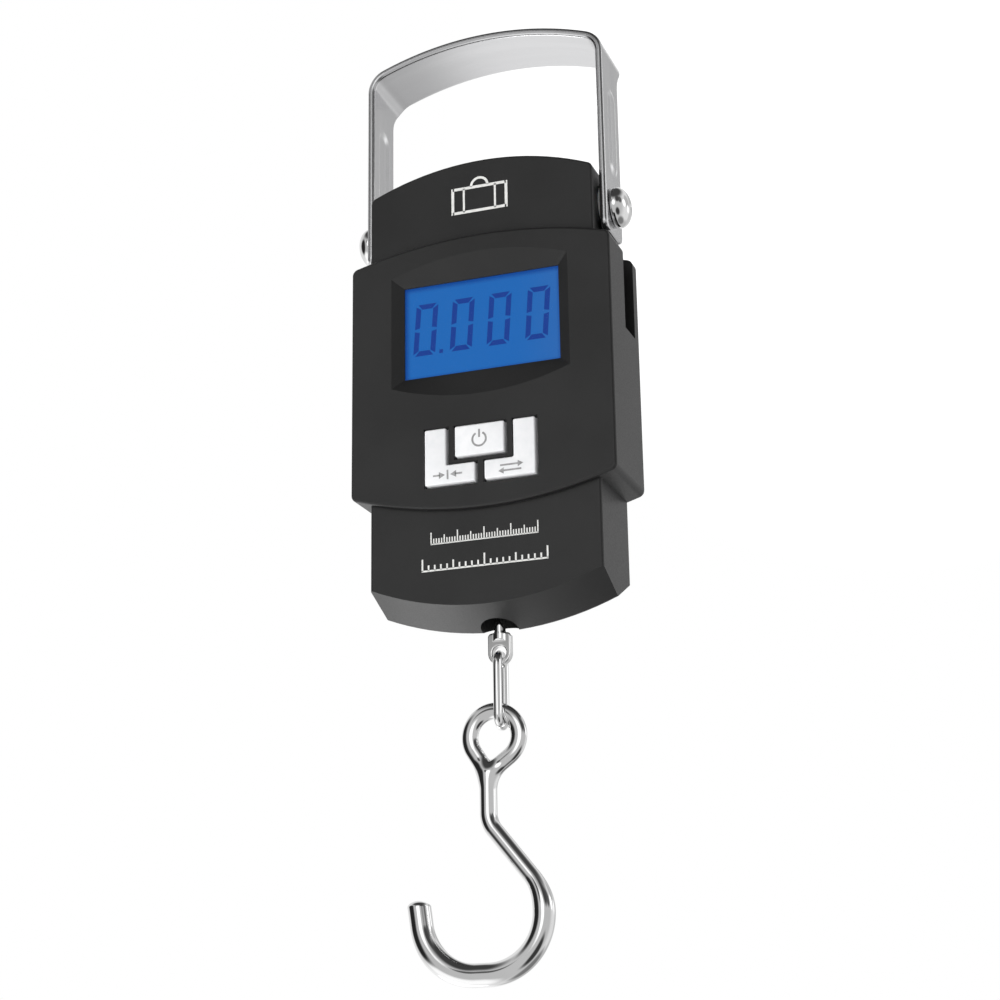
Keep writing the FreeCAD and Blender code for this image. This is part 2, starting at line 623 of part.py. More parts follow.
def link_bend(name, centre, start_angle):
    bend = add("Part::Torus", name)
    bind(bend, "Radius1", "link_bend")
    bind(bend, "Radius2", "link_wire_r")
    bend.Angle3 = 180
    bend.Placement = Placement(Vector(), AXIS_TURN["x"] * Rotation(Vector(0, 0, 1), start_angle))
    bind(bend, "Placement.Base.z", centre)
    return bend


limbs = [cylinder(f"Limb{side}", "z", "link_wire_r", (LINK_LOW_CENTRE, LINK_TOP_CENTRE), ("0", y))
         for side, y in (("Front", "-link_bend"), ("Back", "link_bend"))]
link = fuse("link", *limbs, link_bend("TopBend", LINK_TOP_CENTRE, 90),
            link_bend("LowBend", LINK_LOW_CENTRE, -90))

# ---- Hook -------------------------------------------------------------------------------------

def polar(centre, radius, degrees):
    """A point of the plane Y = 0 around a centre; 0 degrees is +X and 90 degrees is +Z."""
    turn = math.radians(degrees)
    return centre + Vector(radius * math.cos(turn), 0, radius * math.sin(turn))


def arc_edge(centre, radius, first, last):
    return Part.Arc(polar(centre, radius, first), polar(centre, radius, (first + last) / 2),
                    polar(centre, radius, last)).toShape()


def angle_of(direction):
    return math.degrees(math.atan2(direction.z, direction.x))


def ring_centre():
    """The eye of the hook is placed so that its inner side clears the link's bar by ring_clear."""
    reach = value("ring_r - ring_half_plane - link_wire_r - ring_clear")
    return Vector(value("ring_x"), 0, value("link_bar") - math.sqrt(reach ** 2 - value("ring_x") ** 2))


def ring_solid(shank_top):
    """The hook's eye: round above, with two straight legs that meet at the shank."""
    centre = ring_centre()
    radius = value("ring_r")
    away = centre - shank_top
    spread = math.degrees(math.asin(radius / away.Length))
    first = angle_of(away) - 90 - spread
    last = angle_of(away) + 90 + spread
    start = polar(centre, radius, first)
    finish = polar(centre, radius, last)
    loop = [Part.LineSegment(shank_top, start).toShape(), arc_edge(centre, radius, first, last)]
    last_leg = [Part.LineSegment(shank_top, finish).toShape()]
    return flat_pipe(loop, start - shank_top).fuse(flat_pipe(last_leg, finish - shank_top))


def flat_pipe(edges, along):
    """A pipe in the plane Y = 0 whose section is an ellipse, thinner along Y."""
    section = Part.Ellipse(Vector(), value("ring_half_plane"), value("ring_half_thick")).toShape()
    along = Vector(along).normalize()
    section.Placement = Placement(edges[0].valueAt(edges[0].FirstParameter),
                                  Rotation(Vector(0, 1, 0).cross(along), Vector(0, 1, 0), along, "ZXY"))
    return Part.Wire(edges).makePipeShell([Part.Wire(section)], True, False)


ARC_STEP = 9


def arc_stations(centre, radius, first, last, thin, thick):
    """Points, directions and section radii along an arc, without its first point."""
    count = max(2, round(abs(last - first) / ARC_STEP))
    stations = []
    for step in range(1, count + 1):
        part = step / count
        angle = first + (last - first) * part
        along = polar(Vector(), 1, angle + math.copysign(90, last - first))
        ease = part * part * (3 - 2 * part)
        stations.append((polar(centre, radius, angle), along, thin + (thick - thin) * ease))
    return stations


def bowl_solid(shank_top):
    """Shank, bend towards +X, straight run and bowl, thicker where the load hangs, and a round tip."""
    shank_low = Vector(shank_top.x, 0, value("shank_low"))
    bend_centre = shank_low + Vector(value("shank_bend"), 0, 0)
    bowl_right = Vector(value("bowl_x"), 0, value("bowl_z"))
    bowl_left = bowl_right - Vector(value("bowl_flat"), 0, 0)
    bend_r, bowl_r = value("shank_bend"), value("bowl_r")
    thin, right_r, low_r = value("shank_r"), value("bowl_right_r"), value("bowl_low_r")
    left_r, tip_r = value("bowl_left_r"), value("tip_r")
    between = bowl_right - bend_centre
    leave = angle_of(between) - math.degrees(math.acos((bend_r + bowl_r) / between.Length))
    arrive = leave + 180 + 360 * (leave < -180)
    down = Vector(0, 0, -1)
    stations = [(point, down, thin) for point in (shank_top, (shank_top + shank_low) * 0.5, shank_low)]
    stations += arc_stations(bend_centre, bend_r, -180, leave, thin, thin)
    run_start = stations[-1][0]
    run_end = polar(bowl_right, bowl_r, arrive)
    run = (run_end - run_start).normalize()
    stations += [(run_start + (run_end - run_start) * part, run, thin) for part in (0.25, 0.5, 0.75, 1)]
    stations += arc_stations(bowl_right, bowl_r, arrive, 0, thin, right_r)
    stations += arc_stations(bowl_right, bowl_r, 0, -90, right_r, low_r)
    stations += arc_stations(bowl_left, bowl_r, -90, -135, low_r, left_r)
    stations += arc_stations(bowl_left, bowl_r, -135, -180 + value("tip_lean"), left_r, tip_r)
    run_end, lean = stations[-1][:2]
    out = Vector(-1, 0, 0)
    for rise, share in ((0.5, 1.0), (0.72, 1.0), (0.86, 0.95), (0.95, 0.83), (1.0, 0.6)):
        spot = run_end + lean * (value("tip_length") * rise) + out * (value("tip_r") * (1 - share) / 2)
        stations.append((spot, lean, tip_r * share))
    return Part.makeLoft([Part.Wire(Part.Circle(*station).toShape()) for station in stations], True, True)


shank_top = Vector(value("shank_x"), 0, value("shank_top"))
knuckle = Part.makeSphere(value("shank_r"), shank_top)
hook = add("Part::Feature", "hook")
hook.Shape = bowl_solid(shank_top).fuse([ring_solid(shank_top), knuckle]).removeSplitter()

# ---- Batteries, cradle and contacts -----------------------------------------------------------

for side, sign, up in (("right", "", True), ("left", "-", False)):
    axis = (f"{sign}cell_x", "cell_y")
    can = cylinder(f"Can_{side}", "z", "aaa_r", ("aaa_base", "aaa_base + aaa_length"), axis)
    span = (("aaa_base + aaa_length", "aaa_base + aaa_length + nub_height") if up
            else ("aaa_base - nub_height", "aaa_base"))
    fuse(f"battery_{side}", can, cylinder(f"Nub_{side}", "z", "nub_r", span, axis))

cradle_block = box("CradleBlock", ("-cradle_half", "cradle_half"), ("cradle_front", "cradle_back"),
                   ("cradle_low", "cradle_top"))
battery_pockets = [box(f"Pocket{side}", mirrored_span(side, "pocket_in", "pocket_out"),
                       ("pocket_front", "cradle_back + 1"), ("pocket_low", "pocket_top")) for side in SIDES]
stem_channel = box("StemChannel", ("-channel_half", "channel_half"), ("cradle_front - 1", "channel_back"),
                   ("cradle_low - 1", "cradle_top + 1"))
battery_cradle = cut("battery_cradle", cradle_block, *battery_pockets, stem_channel)


def contact_spring(name, x, span, narrow_at_top):
    """A spring's outer cone, from its seat on the contact plate to the battery's flat end."""
    cone = add("Part::Cone", name)
    wide, narrow = ("spring_r", "spring_r - 1")
    bind(cone, "Radius1", wide if narrow_at_top else narrow)
    bind(cone, "Radius2", narrow if narrow_at_top else wide)
    bind(cone, "Height", f"({span[1]}) - ({span[0]})")
    place(cone, "z", span[0], (x, "cell_y"))
    return cone


low_plate = ("pocket_low", "pocket_low + contact_thick")
high_plate = ("pocket_top - contact_thick", "pocket_top")
battery_contacts = group("battery_contacts", *[
    box(f"Contact{side}{level}", (f"{sign}cell_x - contact_half", f"{sign}cell_x + contact_half"),
        ("cell_y - contact_half", "cell_y + contact_half"), span)
    for side, sign in zip(SIDES, ("", "-"))
    for level, span in (("Low", low_plate), ("High", high_plate))])
contact_springs = group(
    "contact_springs",
    contact_spring("SpringRight", "cell_x", ("pocket_low + contact_thick", "aaa_base"), True),
    contact_spring("SpringLeft", "-cell_x", ("aaa_base + aaa_length", "pocket_top - contact_thick"), False))

# ---- Wires ------------------------------------------------------------------------------------

def wire_solid(points, bend):
    """A round wire of straight runs joined by tangent arcs."""
    edges = []
    here = points[0]
    for before, corner, after in zip(points, points[1:], points[2:]):
        into = (corner - before).normalize()
        out = (after - corner).normalize()
        half_turn = into.getAngle(out) / 2
        reach = bend * math.tan(half_turn)
        first = corner - into * reach
        last = corner + out * reach
        centre_side = (out - into).normalize()
        centre = corner + centre_side * (bend / math.cos(half_turn))
        middle = centre - centre_side * bend
        edges += [Part.LineSegment(here, first).toShape(), Part.Arc(first, middle, last).toShape()]
        here = last
    edges.append(Part.LineSegment(here, points[-1]).toShape())
    path = Part.Wire(edges)
    start = Part.Wire(Part.Circle(points[0], points[1] - points[0], value("wire_r")).toShape())
    return path.makePipeShell([start], True, False)


def lead(name, route, side):
    """One wire along a route of (x, y, z) formulas, mirrored for the left side."""
    sign = 1 if side == "Right" else -1
    part = add("Part::Feature", name + side)
    points = [Vector(sign * value(x), value(y), value(z)) for x, y, z in route]
    part.Shape = wire_solid(points, value("wire_bend"))
    return part


GAUGE_ROUTE = [("cell_half + gauge_thick", "0", "gauge_lead_z"), ("lead_x", "0", "gauge_lead_z"),
               ("lead_x", "0", "lead_low_z"), ("lead_x", "board_back", "lead_low_z")]
BATTERY_ROUTE = [("cell_x", "battery_lead_y", "cradle_top"), ("cell_x", "battery_lead_y", "battery_lead_z"),
                 ("cell_x", "board_back", "battery_lead_z")]
gauge_leads = group("gauge_leads", *[lead("GaugeLead", GAUGE_ROUTE, side) for side in SIDES])
battery_leads = group("battery_leads", *[lead("BatteryLead", BATTERY_ROUTE, side) for side in SIDES])

# ---- Handle -----------------------------------------------------------------------------------

def handle_profile(sketch):
    """The arched strip from the front: two legs, two bends and the arch, outer side then inner side."""
    outer_bend = value("bend_radius")
    bend_x = value("handle_half") - outer_bend
    arch_z = value("strip_thick - arch_radius")
    bend_z = arch_z + math.sqrt((value("arch_radius") - outer_bend) ** 2 - bend_x ** 2)
    to_bend = Vector(bend_x, bend_z - arch_z, 0).normalize()
    loops = []
    for radius, bend, half in (("arch_radius", "bend_radius", "handle_half"),
                               ("arch_radius - strip_thick", "bend_radius - strip_thick",
                                "handle_half - strip_thick")):
        meet = Vector(0, arch_z, 0) + to_bend * value(radius)
        loops.append([(half, "leg_end"), (half, str(bend_z)), (str(meet.x), str(meet.y)),
                      (str(-meet.x), str(meet.y)), (f"-({half})", str(bend_z)), (f"-({half})", "leg_end")])
    outer, inner = loops
    corners = outer + inner[::-1]
    bends = {1: ("bend_radius", -1), 2: ("arch_radius", -1), 3: ("bend_radius", -1),
             7: ("bend_radius - strip_thick", 1), 8: ("arch_radius - strip_thick", 1),
             9: ("bend_radius - strip_thick", 1)}
    outline(sketch, corners, bends)


def rib_outline(sketch, margin):
    """A lengthwise slot shape on a leg, round at both ends."""
    half = f"rib_half - {margin}"
    low, high = ("rib_low + rib_half", "rib_top - rib_half")
    outline(sketch, [(f"-({half})", low), (half, low), (half, high), (f"-({half})", high)],
            {0: (f"{half} + 0.001", -1), 2: (f"{half} + 0.001", -1)})


def leg_trim(sketch):
    """What the strip lacks behind the legs: the strip is widest in the arch and narrows in an S below it."""
    back, wide = "strip_width / 2", "arch_back - strip_width / 2"
    corners = [(back, "leg_end - 1"), ("arch_back + 1", "leg_end - 1"), ("arch_back + 1", "flare_top"),
               ("arch_back", "flare_top"), (f"{back} + ({wide}) / 2", "(flare_low + flare_top) / 2"),
               (back, "flare_low")]
    bend = f"((flare_top - flare_low)^2 + ({wide})^2) / (4 * ({wide}))"
    outline(sketch, corners, {3: (bend, 1), 4: (bend, -1)})


handle = new_body("handle")
strip = new_sketch(handle, "StripOutline", "XZ_Plane", "-strip_width / 2")
handle_profile(strip)
pad(handle, strip, "arch_back + strip_width / 2", reverse=True)
behind_legs = new_sketch(handle, "BehindLegs", "YZ_Plane", "0")
leg_trim(behind_legs)
pocket(handle, behind_legs)
leg_end = value("leg_end")
leg_side = value("strip_width") / 2
round_edges(handle, "leg_end_fillet", lambda point: near(point.z, leg_end) and near(abs(point.y), leg_side))
rivet_holes = new_sketch(handle, "RivetHoles", "YZ_Plane", "0")
circle(rivet_holes, "0", "-pivot_drop", "rivet_hole_r")
pocket(handle, rivet_holes)
for side, sign in (("Right", ""), ("Left", "-")):
    raised = new_sketch(handle, f"Rib{side}", "YZ_Plane", f"{sign}handle_half")
    rib_outline(raised, "0")
    pad(handle, raised, "rib_height", reverse=side == "Left")
    pressed = new_sketch(handle, f"Groove{side}", "YZ_Plane", f"{sign}(handle_half - strip_thick)")
    rib_outline(pressed, "0.4")
    pocket(handle, pressed, "rib_height", reverse=side == "Right")

# ---- Checks and export ------------------------------------------------------------------------

NODES = ["handle", "front_cover", "rear_cover", "battery_door", "housing_screws", "display_window",
         "lcd_panel", "backlight", "circuit_board", "controller_chip", "tact_switches", "power_button",
         "tare_button", "unit_button", "pivot_rivets", "pivot_washers", "load_frame", "load_cell",
         "strain_gauges", "load_cell_screws", "thrust_washer", "stem_nut", "swivel_stem", "link", "hook",
         "battery_right", "battery_left", "battery_cradle", "battery_contacts", "contact_springs",
         "gauge_leads", "battery_leads"]

doc.recompute()
failed = [thing.Name for thing in doc.Objects if "Invalid" in thing.State or "Error" in thing.State]
if failed:
    raise RuntimeError(f"these objects failed: {failed}")
os.makedirs("parts", exist_ok=True)
for node in NODES:
    part = doc.getObjectsByLabel(node)[0]
    if part.Shape.isNull() or not part.Shape.isValid():
        raise RuntimeError(f"{node} has no valid shape")
    part.Shape.exportStep(f"parts/{node}.step")
    bounds = part.Shape.optimalBoundingBox(False)
    print(f"{node}: {len(part.Shape.Solids)} solids, {part.Shape.Volume:.1f} mm3, "
          f"X {bounds.XMin:.2f}..{bounds.XMax:.2f}, Y {bounds.YMin:.2f}..{bounds.YMax:.2f}, "
          f"Z {bounds.ZMin:.2f}..{bounds.ZMax:.2f}")
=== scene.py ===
import json
import math

import bpy
import numpy as np
from mathutils import Matrix, Vector


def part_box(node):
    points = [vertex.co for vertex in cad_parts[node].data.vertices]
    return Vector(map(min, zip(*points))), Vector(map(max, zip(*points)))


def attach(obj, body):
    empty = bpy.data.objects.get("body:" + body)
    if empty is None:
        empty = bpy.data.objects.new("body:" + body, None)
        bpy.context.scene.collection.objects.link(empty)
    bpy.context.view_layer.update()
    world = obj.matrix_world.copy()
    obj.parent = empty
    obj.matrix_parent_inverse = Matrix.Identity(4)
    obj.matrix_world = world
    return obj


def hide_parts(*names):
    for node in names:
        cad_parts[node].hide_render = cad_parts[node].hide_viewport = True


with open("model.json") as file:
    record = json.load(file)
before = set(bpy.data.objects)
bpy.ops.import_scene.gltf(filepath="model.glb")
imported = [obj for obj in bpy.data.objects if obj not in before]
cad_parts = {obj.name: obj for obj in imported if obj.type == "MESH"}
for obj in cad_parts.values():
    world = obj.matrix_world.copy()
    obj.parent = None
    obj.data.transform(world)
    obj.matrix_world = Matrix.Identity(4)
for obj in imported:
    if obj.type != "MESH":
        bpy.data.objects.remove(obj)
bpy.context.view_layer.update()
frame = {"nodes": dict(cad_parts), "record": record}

# Looks of a luggage scale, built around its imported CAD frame. Lengths are millimetres until
# new_piece() writes them in metres. X runs across the display, Y to the back, Z up; the origin is
# the grip point, and the handle, the stem and the hook lie in the plane Y = 0.

MM = 0.001


def extent(node):
    """Lowest and highest corner of a CAD node, in millimetres."""
    low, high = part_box(node)
    return np.array(low) / MM, np.array(high) / MM


# ---- Materials

def link(tree, source, target):
    tree.links.new(source, target)


def noise(tree, scale, detail=3.0, stretch=(1, 1, 1), coordinates="Object"):
    """Noise over the object's own coordinates in metres, or over its UV map."""
    where = tree.nodes.new("ShaderNodeTexCoord")
    mapping = tree.nodes.new("ShaderNodeMapping")
    mapping.inputs["Scale"].default_value = stretch
    texture = tree.nodes.new("ShaderNodeTexNoise")
    texture.inputs["Scale"].default_value = scale
    texture.inputs["Detail"].default_value = detail
    link(tree, where.outputs[coordinates], mapping.inputs["Vector"])
    link(tree, mapping.outputs["Vector"], texture.inputs["Vector"])
    return texture.outputs["Fac"]


def feed(tree, target, source):
    """Gives an input a socket to follow, an RGB triple or a number."""
    if isinstance(source, bpy.types.NodeSocket):
        link(tree, source, target)
    else:
        target.default_value = (*source, 1.0) if isinstance(source, tuple) else source


def mix(tree, share, first, second):
    """A colour between two, each a socket or an RGB triple."""
    node = tree.nodes.new("ShaderNodeMix")
    node.data_type = "RGBA"
    for name, source in (("Factor", share), ("A", first), ("B", second)):
        feed(tree, node.inputs[name], source)
    return node.outputs["Result"]


def spread(tree, source, low, high, start=0.0, end=1.0, smooth=False):
    """Maps a value's start..end to low..high."""
    node = tree.nodes.new("ShaderNodeMapRange")
    node.interpolation_type = "SMOOTHSTEP" if smooth else "LINEAR"
    for name, number in (("From Min", start), ("From Max", end), ("To Min", low), ("To Max", high)):
        node.inputs[name].default_value = number
    link(tree, source, node.inputs["Value"])
    return node.outputs["Result"]


def math_node(tree, operation, first, second):
    node = tree.nodes.new("ShaderNodeMath")
    node.operation = operation
    for target, source in zip(node.inputs, (first, second)):
        feed(tree, target, source)
    return node.outputs["Value"]


def object_axes(tree):
    """The X, Y and Z of the object's own coordinates, in metres."""
    where = tree.nodes.new("ShaderNodeTexCoord")
    parts = tree.nodes.new("ShaderNodeSeparateXYZ")
    link(tree, where.outputs["Object"], parts.inputs["Vector"])
    return parts.outputs["X"], parts.outputs["Y"], parts.outputs["Z"]


def finish_of(name, color, tint, roughness, metallic=0.0, mottle=60.0, grain=2500.0, bump=0.02,
              stretch=(1, 1, 1), coordinates="Object", **sockets):
    """A material whose colour and roughness vary softly, with a fine surface grain.
    bump is the grain's height in millimetres."""
    material = bpy.data.materials.new(name)
    material.use_nodes = True
    tree = material.node_tree
    shader = tree.nodes["Principled BSDF"]
    shader.inputs["Metallic"].default_value = metallic
    for socket, number in sockets.items():
        shader.inputs[socket.replace("_", " ")].default_value = number
    broad = spread(tree, noise(tree, mottle, stretch=stretch, coordinates=coordinates), 0, 1, 0.3, 0.7)
    fine = noise(tree, grain, 2.0, stretch, coordinates)
    link(tree, mix(tree, broad, color, tint), shader.inputs["Base Color"])
    link(tree, spread(tree, fine, *roughness, 0.3, 0.7), shader.inputs["Roughness"])
    relief = tree.nodes.new("ShaderNodeBump")
    relief.inputs["Distance"].default_value = bump * MM
    link(tree, fine, relief.inputs["Height"])
    link(tree, relief.outputs["Normal"], shader.inputs["Normal"])
    return material


def grey(level):
    return (level, level, level)


FINISHES = {
    "handle_steel": finish_of("satin_steel", (0.68, 0.68, 0.69), (0.74, 0.74, 0.75), (0.20, 0.27), 1.0, 25,
        700, 0.0012, (0.3, 6, 1), "UV"),
    "housing_black": finish_of("satin_black_plastic", grey(0.013), grey(0.017), (0.34, 0.44), mottle=45,
        grain=2600, bump=0.012, Specular_IOR_Level=0.42),
    "zinc_steel": finish_of("zinc_plated_steel", (0.52, 0.53, 0.55), (0.60, 0.60, 0.58), (0.25, 0.40), 1.0,
        300, 3000, 0.004),
    "diffuser_white": finish_of("light_guide", grey(0.80), (0.78, 0.82, 0.86), (0.25, 0.35), mottle=200),
    "board_green": finish_of("solder_mask", (0.015, 0.12, 0.05), (0.02, 0.16, 0.06), (0.30, 0.40),
        mottle=350),
    "chip_epoxy": finish_of("black_epoxy", grey(0.020), grey(0.028), (0.45, 0.60), mottle=500),
    "switch_metal": finish_of("pressed_tin", grey(0.62), grey(0.70), (0.25, 0.35), 1.0, 400),
    "key_silver": finish_of("silver_key_paint", (0.70, 0.71, 0.72), (0.75, 0.75, 0.76), (0.34, 0.46),
        mottle=500, grain=5000, bump=0.006),
    "washer_nylon": finish_of("nylon", grey(0.42), grey(0.48), (0.40, 0.50), mottle=300,
        Subsurface_Weight=0.2, Subsurface_Scale=0.001),
    "cell_aluminium": finish_of("milled_aluminium", grey(0.72), grey(0.78), (0.25, 0.40), 1.0, 60, 1500,
        0.006, (1, 1, 12)),
    "gauge_film": finish_of("amber_film", (0.50, 0.20, 0.03), (0.60, 0.26, 0.04), (0.15, 0.25), mottle=900),
    "hook_chrome": finish_of("polished_chrome", grey(0.83), grey(0.90), (0.035, 0.085), 1.0, 90, 700, 0.0012),
    "cradle_plastic": finish_of("cradle_plastic", grey(0.022), grey(0.030), (0.45, 0.58), mottle=120,
        grain=1800, bump=0.02),
    "contact_nickel": finish_of("nickel_spring_steel", (0.62, 0.60, 0.56), (0.70, 0.68, 0.63), (0.15, 0.25),
        1.0, 400),
    "lead_white": finish_of("white_wire", grey(0.70), (0.74, 0.73, 0.68), (0.35, 0.45), mottle=300),
    "lead_red": finish_of("red_wire", (0.45, 0.02, 0.01), (0.52, 0.03, 0.02), (0.35, 0.45), mottle=300),
    "print_light": finish_of("light_print", (0.62, 0.62, 0.60), (0.74, 0.74, 0.72), (0.50, 0.62),
        mottle=900),
    "print_grey": finish_of("grey_print", grey(0.20), grey(0.34), (0.50, 0.62), mottle=700),
    "window_clear": finish_of("clear_window", (0.93, 0.96, 1.0), (0.96, 0.98, 1.0), (0.01, 0.03), mottle=40,
        grain=30, bump=0.002, Transmission_Weight=1.0, IOR=1.46),
    # display_ink: dark segment ink with a faint blue emission, painted light that stands in for the lamplight
    # the window glass keeps from the segments
    "display_ink": finish_of("segment_ink_painted_glow", (0.002, 0.006, 0.030), (0.003, 0.008, 0.040), (0.30, 0.40),
        mottle=400, Specular_IOR_Level=0.1, Emission_Strength=0.95,
        Emission_Color=(0.010, 0.052, 0.300, 1.0)),
}
WINDOW_HALF, WINDOW_LOW, WINDOW_TOP = 20.5, -93.6, -68.9


def display_blue():
    """A blue lit from behind: it darkens towards the rim and is a little paler near the right end."""
    right_end = extent("lcd_panel")[1][0] * MM
    material = finish_of("backlit_display", (0.003, 0.012, 0.060), (0.004, 0.016, 0.070), (0.30, 0.40),
                         mottle=35, grain=1800, bump=0.001, Specular_IOR_Level=0.1, Emission_Strength=0.95)
    tree = material.node_tree
    shader = tree.nodes["Principled BSDF"]
    x, _, z = object_axes(tree)
    margin = 0.0014
    rim = None
    for axis, low_edge, high_edge in ((x, -WINDOW_HALF, WINDOW_HALF), (z, WINDOW_LOW, WINDOW_TOP)):
        for edge, sign in ((low_edge, 1), (high_edge, -1)):
            depth = math_node(tree, "MULTIPLY", math_node(tree, "SUBTRACT", axis, edge * MM), sign)
            near_edge = spread(tree, depth, 0.25, 1.0, -0.0002, margin, smooth=True)
            rim = near_edge if rim is None else math_node(tree, "MULTIPLY", rim, near_edge)
    pale = spread(tree, x, 0.0, 0.35, right_end * 0.35, right_end, smooth=True)
    glow = mix(tree, pale, (0.014, 0.150, 0.490), (0.050, 0.155, 0.440))
    lit = mix(tree, rim, (0.006, 0.050, 0.280), glow)
    link(tree, lit, shader.inputs["Emission Color"])
    return material


def battery_wrap():
    """A printed can in two colours, green below and buff above."""
    band_low, band_high = -0.1160, -0.1158
    material = finish_of("battery_wrap", (0.10, 0.16, 0.12), (0.13, 0.20, 0.15), (0.22, 0.32), 0.6, 200)
    tree = material.node_tree
    shader = tree.nodes["Principled BSDF"]
    plain = shader.inputs["Base Color"].links[0].from_socket
    _, _, z = object_axes(tree)
    band = spread(tree, z, 0.0, 1.0, band_low, band_high)
    link(tree, mix(tree, band, plain, (0.50, 0.45, 0.34)), shader.inputs["Base Color"])
    return material


FINISHES["lcd_blue"] = display_blue()
FINISHES["battery_wrap"] = battery_wrap()


# ---- Mesh helpers

def new_piece(name, points, faces, body, slot, replaces=(), normals=None, uv=None):
    """A smooth-shaded mesh in millimetres that rides on a body, in the finish of its slot."""
    mesh = bpy.data.meshes.new(name)
    whole = [[int(index) for index in face] for face in faces]
    mesh.from_pydata((np.asarray(points, float) * MM).tolist(), [], whole)
    mesh.polygons.foreach_set("use_smooth", [True] * len(mesh.polygons))
    if uv is not None:
        layer = mesh.uv_layers.new(name="UVMap")
        loops = np.empty(len(mesh.loops), int)
        mesh.loops.foreach_get("vertex_index", loops)
        layer.data.foreach_set("uv", (np.asarray(uv, float)[loops] * MM).ravel())
    if normals is not None:
        mesh.normals_split_custom_set_from_vertices(normals.tolist())
    mesh.materials.append(FINISHES[slot])
    piece = bpy.data.objects.new(name, mesh)
    bpy.context.scene.collection.objects.link(piece)
    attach(piece, body)
    if replaces:
        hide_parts(*replaces)
    return piece


def sharpen(piece, degrees=35):
    """Keeps smooth shading but breaks it at edges sharper than an angle."""
    bpy.context.view_layer.objects.active = piece
    piece.select_set(True)
    bpy.ops.object.shade_auto_smooth(angle=math.radians(degrees))
    piece.select_set(False)


def bore(piece, centre, axis, reach, radius):
    """Cuts a round hole along an axis, reach either side of its centre."""
    along = centre["xyz".index(axis)]
    ends = (along - reach, along + reach)
    profile = [(ends[0], 0), (ends[0], radius), (ends[1], radius), (ends[1], 0)]
    points, faces = lathe(profile, centre, axis, 48)
    mesh = bpy.data.meshes.new("cutter")
    mesh.from_pydata((np.array(points) * MM).tolist(), [], faces)
    cutter = bpy.data.objects.new("cutter", mesh)
    bpy.context.scene.collection.objects.link(cutter)
    cut = piece.modifiers.new("bore", "BOOLEAN")
    cut.object = cutter
    bpy.context.view_layer.objects.active = piece
    bpy.ops.object.modifier_apply(modifier=cut.name)
    bpy.data.objects.remove(cutter)


def grid_faces(rows, columns, wrap_rows=False, wrap_columns=False):
    """Quads over a grid of points stored row by row."""
    faces = []
    for row in range(rows if wrap_rows else rows - 1):
        for column in range(columns if wrap_columns else columns - 1):
            below, beside = (row + 1) % rows, (column + 1) % columns
            faces.append((row * columns + column, row * columns + beside,
                          below * columns + beside, below * columns + column))
    return faces


def end_faces(rows, count):
    """The two ends of a grid whose rows are closed rings of count points."""
    return [tuple(range(count))[::-1], tuple(range((rows - 1) * count, rows * count))]


def merge(*shells):
    """Several (points, faces) shells as one."""
    points, faces = [], []
    for shell_points, shell_faces in shells:
        start = len(points)
        points += [tuple(point) for point in shell_points]
        faces += [tuple(index + start for index in face) for face in shell_faces]
    return points, faces


def lathe(profile, centre, axis, turns=64):
    """Turns (along, radius) pairs round an axis through centre. A radius of 0 closes an end."""
    along = "xyz".index(axis)
    first, second = [(1, 2), (2, 0), (0, 1)][along]
    points, faces, rings = [], [], []
    for height, radius in profile:
        point = np.array(centre, float)
        point[along] = height
        if radius == 0:
            rings.append([len(points)])
            points.append(point)
            continue
        rings.append(list(range(len(points), len(points) + turns)))
        for step in range(turns):
            spot = point.copy()
            angle = 2 * math.pi * step / turns
            spot[first] += radius * math.cos(angle)
            spot[second] += radius * math.sin(angle)
            points.append(spot)
    for low, high in zip(rings, rings[1:]):
        for step in range(turns):
            after = (step + 1) % turns
            if len(low) == 1:
                faces.append((low[0], high[after], high[step]))
            elif len(high) == 1:
                faces.append((low[step], low[after], high[0]))
            else:
                faces.append((low[step], low[after], high[after], high[step]))
    backwards = profile[0][0] > profile[-1][0]
    return points, [face[::-1] for face in faces] if backwards else faces


def rounded_outline(corners, radius, inset, steps=5):
    """A closed outline moved inwards, each corner an arc. Corners run anticlockwise."""
    corners = np.array(corners, float)
    outline = []
    for before, corner, after in zip(np.roll(corners, 1, 0), corners, np.roll(corners, -1, 0)):
        into = (corner - before) / np.linalg.norm(corner - before)
        out = (after - corner) / np.linalg.norm(after - corner)
        turn = into[0] * out[1] - into[1] * out[0]
        normal_in, normal_out = np.array([-into[1], into[0]]), np.array([-out[1], out[0]])
        size = radius * abs(turn)
        centre = corner + (normal_in + normal_out) * math.copysign(size, turn)
        bend = max(size - inset * math.copysign(1, turn), 0.01)
        for step in range(steps + 1):
            angle = step / steps * math.pi / 2
            away = -(normal_in * math.cos(angle) + normal_out * math.sin(angle))
            outline.append(centre + away * bend * math.copysign(1, turn))
    return np.array(outline)


def stacked(corners, radius, levels, steps=5):
    """A solid with its outline in X and Z, from (Y, inset) levels front to back, capped at both ends."""
    points, count = [], 0
    for y, inset in levels:
        ring = rounded_outline(corners, radius, inset, steps)
        count = len(ring)
        points += [(x, y, z) for x, z in ring]
    faces = grid_faces(len(levels), count, wrap_columns=True) + end_faces(len(levels), count)
    return points, [face[::-1] for face in faces]


def edge_levels(front, back, edge, steps=4):
    """Levels of a face at front with a rounded edge, down to back."""
    turns = [math.pi / 2 * step / steps for step in range(steps + 1)]
    return [(front + edge * (1 - math.sin(turn)), edge * (1 - math.cos(turn)))
            for turn in reversed(turns)] + [(back, 0.0)]


